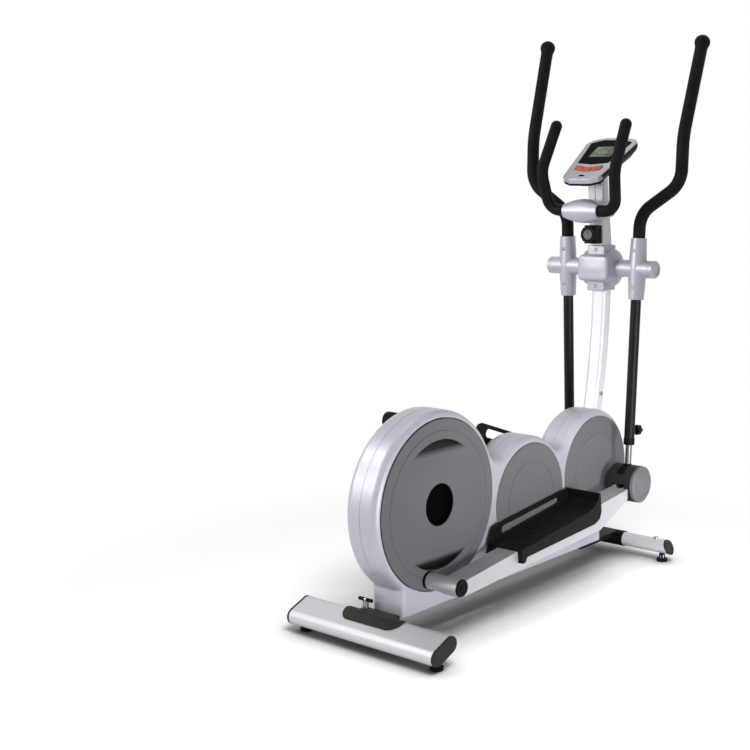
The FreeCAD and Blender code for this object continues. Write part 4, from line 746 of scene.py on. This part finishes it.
half, low, up, rim = (display[key] for key in ("half", "low", "up", "rim"))
frameOutline = roundedBox(-half - rim, low - rim, half + rim, up + rim, rim)
makePiece("displayFrame", [onWindow(frameOutline, display["frameStand"])], blackAbs, "base")
filmOutline = roundedBox(-half, low, half, up, display["filmCorner"])
makePiece("displayFilm", [onWindow(filmOutline, display["filmStand"])], displayFilm, "base")
bars = [bar for figures in display["lines"] for bar in digitStrokes(*figures)]
for level in range(display["levels"]):
    wide, tall = display["levelWide"], display["levelRise"] * (level + 1)
    bars.append(np.array([(0, 0), (wide, 0), (wide, tall), (0, tall)]) + display["levelSpot"]
                + (display["levelStep"] * level, 0))
makePiece("displayDigits", [onWindow(bar, display["inkStand"]) for bar in bars], displayInk, "base")
angle = np.linspace(0, 2 * np.pi, display["ovalAround"], endpoint=False)
oval = np.stack([np.cos(angle), np.sin(angle)], -1) * display["ovalHalf"] + (0, display["ovalRow"])
makePiece("sensorOval", [onConsole(plateOf(oval, *display["ovalStand"]))], smokedAcrylic, "base")
spots = [(side * display["screwOut"], row, display["screwFace"])
         for side in (-1, 1) for row in display["screwRows"]]
heads = [buttonHead(spot, tiltAboutX((0, 0, -1), consoleTilt), display["screwRadius"])
         for spot in onConsole(spots)]
makePiece("consoleScrews", heads, zincPlate, "base")
print("display lit")

# Silicone key caps, broader than the keys that carry them
keyCap = {"half": 0.0153, "tall": 0.0118, "corner": 0.0035, "step": 0.032, "row": -0.063, "fan": 0.006,
          "skew": 0.0032, "bow": 0.0022, "stand": (0.0012, 0.0030, 0.0010)}
for place, word in ((-1, "left"), (0, "centre"), (1, "right")):
    cap = roundedBox(-keyCap["half"], -keyCap["tall"], keyCap["half"], keyCap["tall"], keyCap["corner"])
    share = cap[:, 0] / keyCap["half"]
    cap[:, 1] += share * place * keyCap["skew"] - keyCap["bow"] * np.cos(np.pi * share)
    cap += (place * keyCap["step"], keyCap["row"] + abs(place) * keyCap["fan"])
    cap = onConsole(plateOf(cap, *keyCap["stand"]))
    makePiece(f"keyCap_{word}", [cap], siliconeKey, f"key_{word}")

# Black gasket round the console's silver lid, along its sides and under its lower lip
gasket = {
    "proud": 0.0011,
    "bend": 0.012,
    "step": 0.002,
    "sides": [(0.0678, -0.090), (0.092, 0.098), (0.074, 0.120), (0.0304, 0.132)],
    "sidesZ": (-0.0084, -0.0034),
    "lip": [(0.0678, -0.090), (0.066, -0.104), (0.036, -0.118)],
    "lipZ": (-0.0232, -0.0168),
}
bandCorners = np.array([(-1, -1), (1, -1), (1, 1), (-1, 1)], float)


def gasketBand(half, heights):
    # The half outline and its mirror image joined into one route, with a flat band carried along it
    half = np.array(half)
    outline = np.concatenate([half, half[::-1] * (-1, 1)])
    corners = np.column_stack([outline, np.full(len(outline), sum(heights) / 2)])
    route = roundedRoute(corners, [gasket["bend"]] * (len(outline) - 2), gasket["step"])[0]
    band = bandCorners * (gasket["proud"], (heights[1] - heights[0]) / 2)
    return onConsole(carried(route, band[None], alongZ))


bands = [gasketBand(gasket[part], gasket[f"{part}Z"]) for part in ("sides", "lip")]
makePiece("consoleGasket", bands, blackRubber, "base")
print("key caps and gasket fitted")

# Dial on the resistance knob: a grey disc with a raised rim and a pointer ridge. The profile's rows are
# distance off the knob's face and radius. The pointer gives left, low, right, up and corner
dial = {
    "profile": [(-0.0004, 0.0150), (0.0012, 0.0150), (0.0016, 0.0144), (0.0016, 0.0128), (0.0008, 0.0120),
                (0.0008, 0.0010)],
    "pointer": (-0.0011, 0.002, 0.0011, 0.0115, 0.0008),
    "pointerStand": (0, 0.0020, 0.0003),
}
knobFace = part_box("resistance_knob")[0][1]
knobZ = joints["resistance_knob_turn"]["pos_m"][2]
makePiece("knobDial", [spun((0, knobFace, knobZ), (0, -1, 0), dial["profile"])], greyAbs, "knob")
ridge = plateOf(roundedBox(*dial["pointer"]), *dial["pointerStand"])
ridge = np.stack([ridge[..., 0], knobFace - ridge[..., 2], knobZ + ridge[..., 1]], -1)
makePiece("knobPointer", [ridge], displayInk, "knob")
print("dial fitted")

# Collars: arm tube ends, foot stems, the hand screw's sleeves and a black band round the left crank pin's
# end, on that side only. Profile rows are distance along the collar and radius
collars = {
    "tube": [(0, 0.0105), (-0.0006, 0.0125), (-0.0006, 0.0162), (0.0006, 0.0172), (0.018, 0.0172),
             (0.020, 0.0161), (0.020, 0.0105), (0, 0.0105)],
    "belowKnob": 0.041,
    "footNut": [(0.0088, 0.0086), (0.0088, 0.0096), (0.0215, 0.0096), (0.0225, 0.0086)],
    "nutRows": (0, 1, 2),
    "nutAround": 36,
    "screwSleeve": [(-0.0002, 0.0030), (0, 0.0044), (0.0008, 0.0050), (0.0188, 0.0050), (0.0188, 0.0042)],
    "sleeveAround": 24,
    "barDrop": 0.004,
    "boot": [(0, 0.0216), (0, 0.0230), (0.001, 0.0236), (0.057, 0.0236), (0.0585, 0.0226), (0.0585, 0.02)],
    "bootStart": 0.006,
}
for word, side in sides.items():
    knobSpot = np.array(joints[f"arm_knob_{word}_turn"]["pos_m"])
    up = tiltAboutX((0, 0, 1), armAngle[word])
    drop = (knobSpot - axleSpot) @ up - collars["belowKnob"]
    spot = tiltAboutX((side * moving["armX"], 0, drop), armAngle[word], axleSpot)
    collar = spun(spot, up, collars["tube"])
    makePiece(f"tubeCollar_{word}", [collar], blackAbs, f"arm_{word}")
    for end in ("rear", "front"):
        foot = joints[f"{end}_foot_{word}_turn"]["pos_m"]
        nut = spun((foot[0], foot[1], 0), (0, 0, 1), collars["footNut"], collars["nutAround"],
                   collars["nutRows"])
        makePiece(f"{end}FootNut_{word}", [nut], zincPlate, f"{end}_foot_{word}")
barLow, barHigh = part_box("hand_screw")
barY, barZ = (barLow[1] + barHigh[1]) / 2, barHigh[2] - collars["barDrop"]
sleeves = [spun((end, barY, barZ), (inward, 0, 0), collars["screwSleeve"], collars["sleeveAround"])
           for end, inward in ((barLow[0], 1), (barHigh[0], -1))]
makePiece("screwSleeves", sleeves, blackRubber, "screw")
# The black band sits on the left crank pin only; the right pin's end stays bare
pinLow, pinHigh = np.array(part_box("crank_pin_left"))
darkBandSpot = (pinLow[0] + collars["bootStart"], *((pinLow + pinHigh) / 2)[1:])
makePiece("pinBoot_left", [spun(darkBandSpot, (1, 0, 0), collars["boot"])], blackRubber, "pedal_left")
print("collars fitted")

# Shrouds that follow the lower arms and close the slots in the pivot covers, each with a grommet round its
# rod. Reaches are degrees to either side of the rod, the grommet's rows distance along the rod and radius
shroud = {
    "radius": 0.0526,
    "half": 0.0139,
    "thick": 0.0006,
    "reach": {"right": (-46, 71), "left": (-71, 46)},
    "rows": 60,
    "grommet": [(0, 0.0098), (0, 0.0123), (0.0070, 0.0123), (0.0088, 0.0109), (0.0092, 0.0098), (0, 0.0098)],
    "grommetFoot": 0.0500,
}
for word, side in sides.items():
    pivot = np.array(joints[f"pedal_{word}_pivot"]["pos_m"]) + (side * moving["armX"], 0, 0)
    first, last = math.pi / 2 + armAngle[word] + np.radians(shroud["reach"][word])
    turn = np.linspace(first, last, shroud["rows"])
    route = pivot + shroud["radius"] * np.stack([0 * turn, np.cos(turn), np.sin(turn)], -1)
    band = carried(route, (bandCorners * (shroud["thick"], shroud["half"]))[None], alongX)
    up = tiltAboutX((0, 0, 1), armAngle[word])
    ring = spun(pivot + up * shroud["grommetFoot"], up, shroud["grommet"])
    makePiece(f"rodShroud_{word}", [band, ring], blackRubber, f"lower_arm_{word}")
print("shrouds fitted")

# Screws in the crank pins' ends and grey rings in the axle caps' dished faces. The ring's rows are distance
# off the dish and radius
ends = {
    "pinScrew": 0.0078,
    "pinSink": 0.002,
    "ring": [(-0.0004, 0.0159), (0.0003, 0.0159), (0.0003, 0.0168), (-0.0004, 0.0168), (-0.0004, 0.0159)],
    "dish": 0.0021,
}
for word, side in sides.items():
    pinLow, pinHigh = np.array(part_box(f"crank_pin_{word}"))
    outer = pinHigh[0] if side > 0 else pinLow[0]
    spot = (outer - side * ends["pinSink"], *((pinLow + pinHigh) / 2)[1:])
    head = buttonHead(spot, (side, 0, 0), ends["pinScrew"])
    makePiece(f"pinScrew_{word}", [head], blackPowder, f"pedal_{word}")
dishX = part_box("axle_caps")[1][0] - ends["dish"]
rings = [spun((side * dishX, axleY, axleZ), (side, 0, 0), ends["ring"]) for side in sides.values()]
makePiece("axleCapRings", rings, greyAbs, "base")
print("end details fitted")

# Parting lines where the housing's halves meet. The lobes' radii run from the crank's lobe over the
# flywheel's to the front one, which stands back from the swing axle. Angles are degrees
seams = {
    "half": 0.00025,
    "proud": 0.0002,
    "lobeRadii": (0.251, 0.181, 0.187),
    "frontBack": 0.107,
    "frontRise": 0.305,
    "valley": 0.055,
    "rearStart": 222,
    "mastEnd": 78,
    "toe": (60, -68),
    "step": 0.006,
    "leastRows": 6,
    "weld": 1e-5,
}


def arcPoints(centre, radius, start, end):
    # Evenly turned points of a circle in the plane X = 0
    turn = np.linspace(start, end, max(int(abs(end - start) * radius / seams["step"]), seams["leastRows"]))
    return np.stack([0 * turn, centre[0] + radius * np.cos(turn), centre[1] + radius * np.sin(turn)], -1)


def valleyCentre(a, ra, b, rb, radius):
    # Upper crossing of two circles that stand off both lobes by the valley's radius
    a, b = np.array(a), np.array(b)
    gap = np.linalg.norm(b - a)
    reach = (gap ** 2 + (ra + radius) ** 2 - (rb + radius) ** 2) / (2 * gap)
    rise = math.sqrt((ra + radius) ** 2 - reach ** 2)
    along = (b - a) / gap
    return a + reach * along + rise * np.array([-along[1], along[0]])


def bearing(a, b):
    # The angle at which b is seen from a, from Y towards Z
    return math.atan2(b[1] - a[1], b[0] - a[0])


lobeCentres = [joints["crank_turn"]["pos_m"][1:], joints["flywheel_turn"]["pos_m"][1:],
               (axleY - seams["frontBack"], seams["frontRise"])]
lobes = list(zip(lobeCentres, seams["lobeRadii"]))
runs = []
start = math.radians(seams["rearStart"])
for (a, ra), (b, rb) in zip(lobes, lobes[1:]):
    hollow = valleyCentre(a, ra, b, rb, seams["valley"])
    runs.append(arcPoints(a, ra, start, bearing(a, hollow)))
    runs.append(arcPoints(hollow, seams["valley"], bearing(a, hollow) - math.pi, bearing(hollow, b)))
    start = bearing(b, hollow)
runs.append(arcPoints(*lobes[-1], start, math.radians(seams["mastEnd"])))
topLine = np.concatenate(runs)
topLine = topLine[np.r_[True, np.linalg.norm(np.diff(topLine, axis=0), axis=1) > seams["weld"]]]
toeLine = arcPoints(*lobes[-1], *np.radians(seams["toe"]))
flatBand = (bandCorners * (seams["proud"], seams["half"]))[None]
makePiece("housingSeam", [carried(line, flatBand, alongX) for line in (topLine, toeLine)], greyAbs, "base")

# Parting lines where the head post's shells meet: one towards the user and one on each side. The post leans
# back by lean over its height tall, from foot above the axle
post = {"back": 0.035, "half": 0.025, "lean": 0.018, "foot": 0.070, "tall": 0.264, "low": 1.136,
        "high": 1.214, "rows": 12, "sideIn": 0.010, "wide": 0.0008}
postZ = np.linspace(post["low"], post["high"], post["rows"])
postY = axleY - post["back"] - post["lean"] * (postZ - axleZ - post["foot"]) / post["tall"]
userLine = np.stack([0 * postZ, postY, postZ], -1)
sideLine = np.stack([0 * postZ + post["half"], postY + post["sideIn"], postZ], -1)
postBand = (bandCorners * (post["wide"], seams["proud"]))[None]
makePiece("postSeams", [carried(userLine, postBand, -alongY), carried(sideLine, postBand, alongX),
                        carried(sideLine * (-1, 1, 1), postBand, -alongX)],
          blackRubber, "base")
print("parting lines drawn")

placeCamera()
paintWorld()
hangLamps(layFloor())
print("stage built")
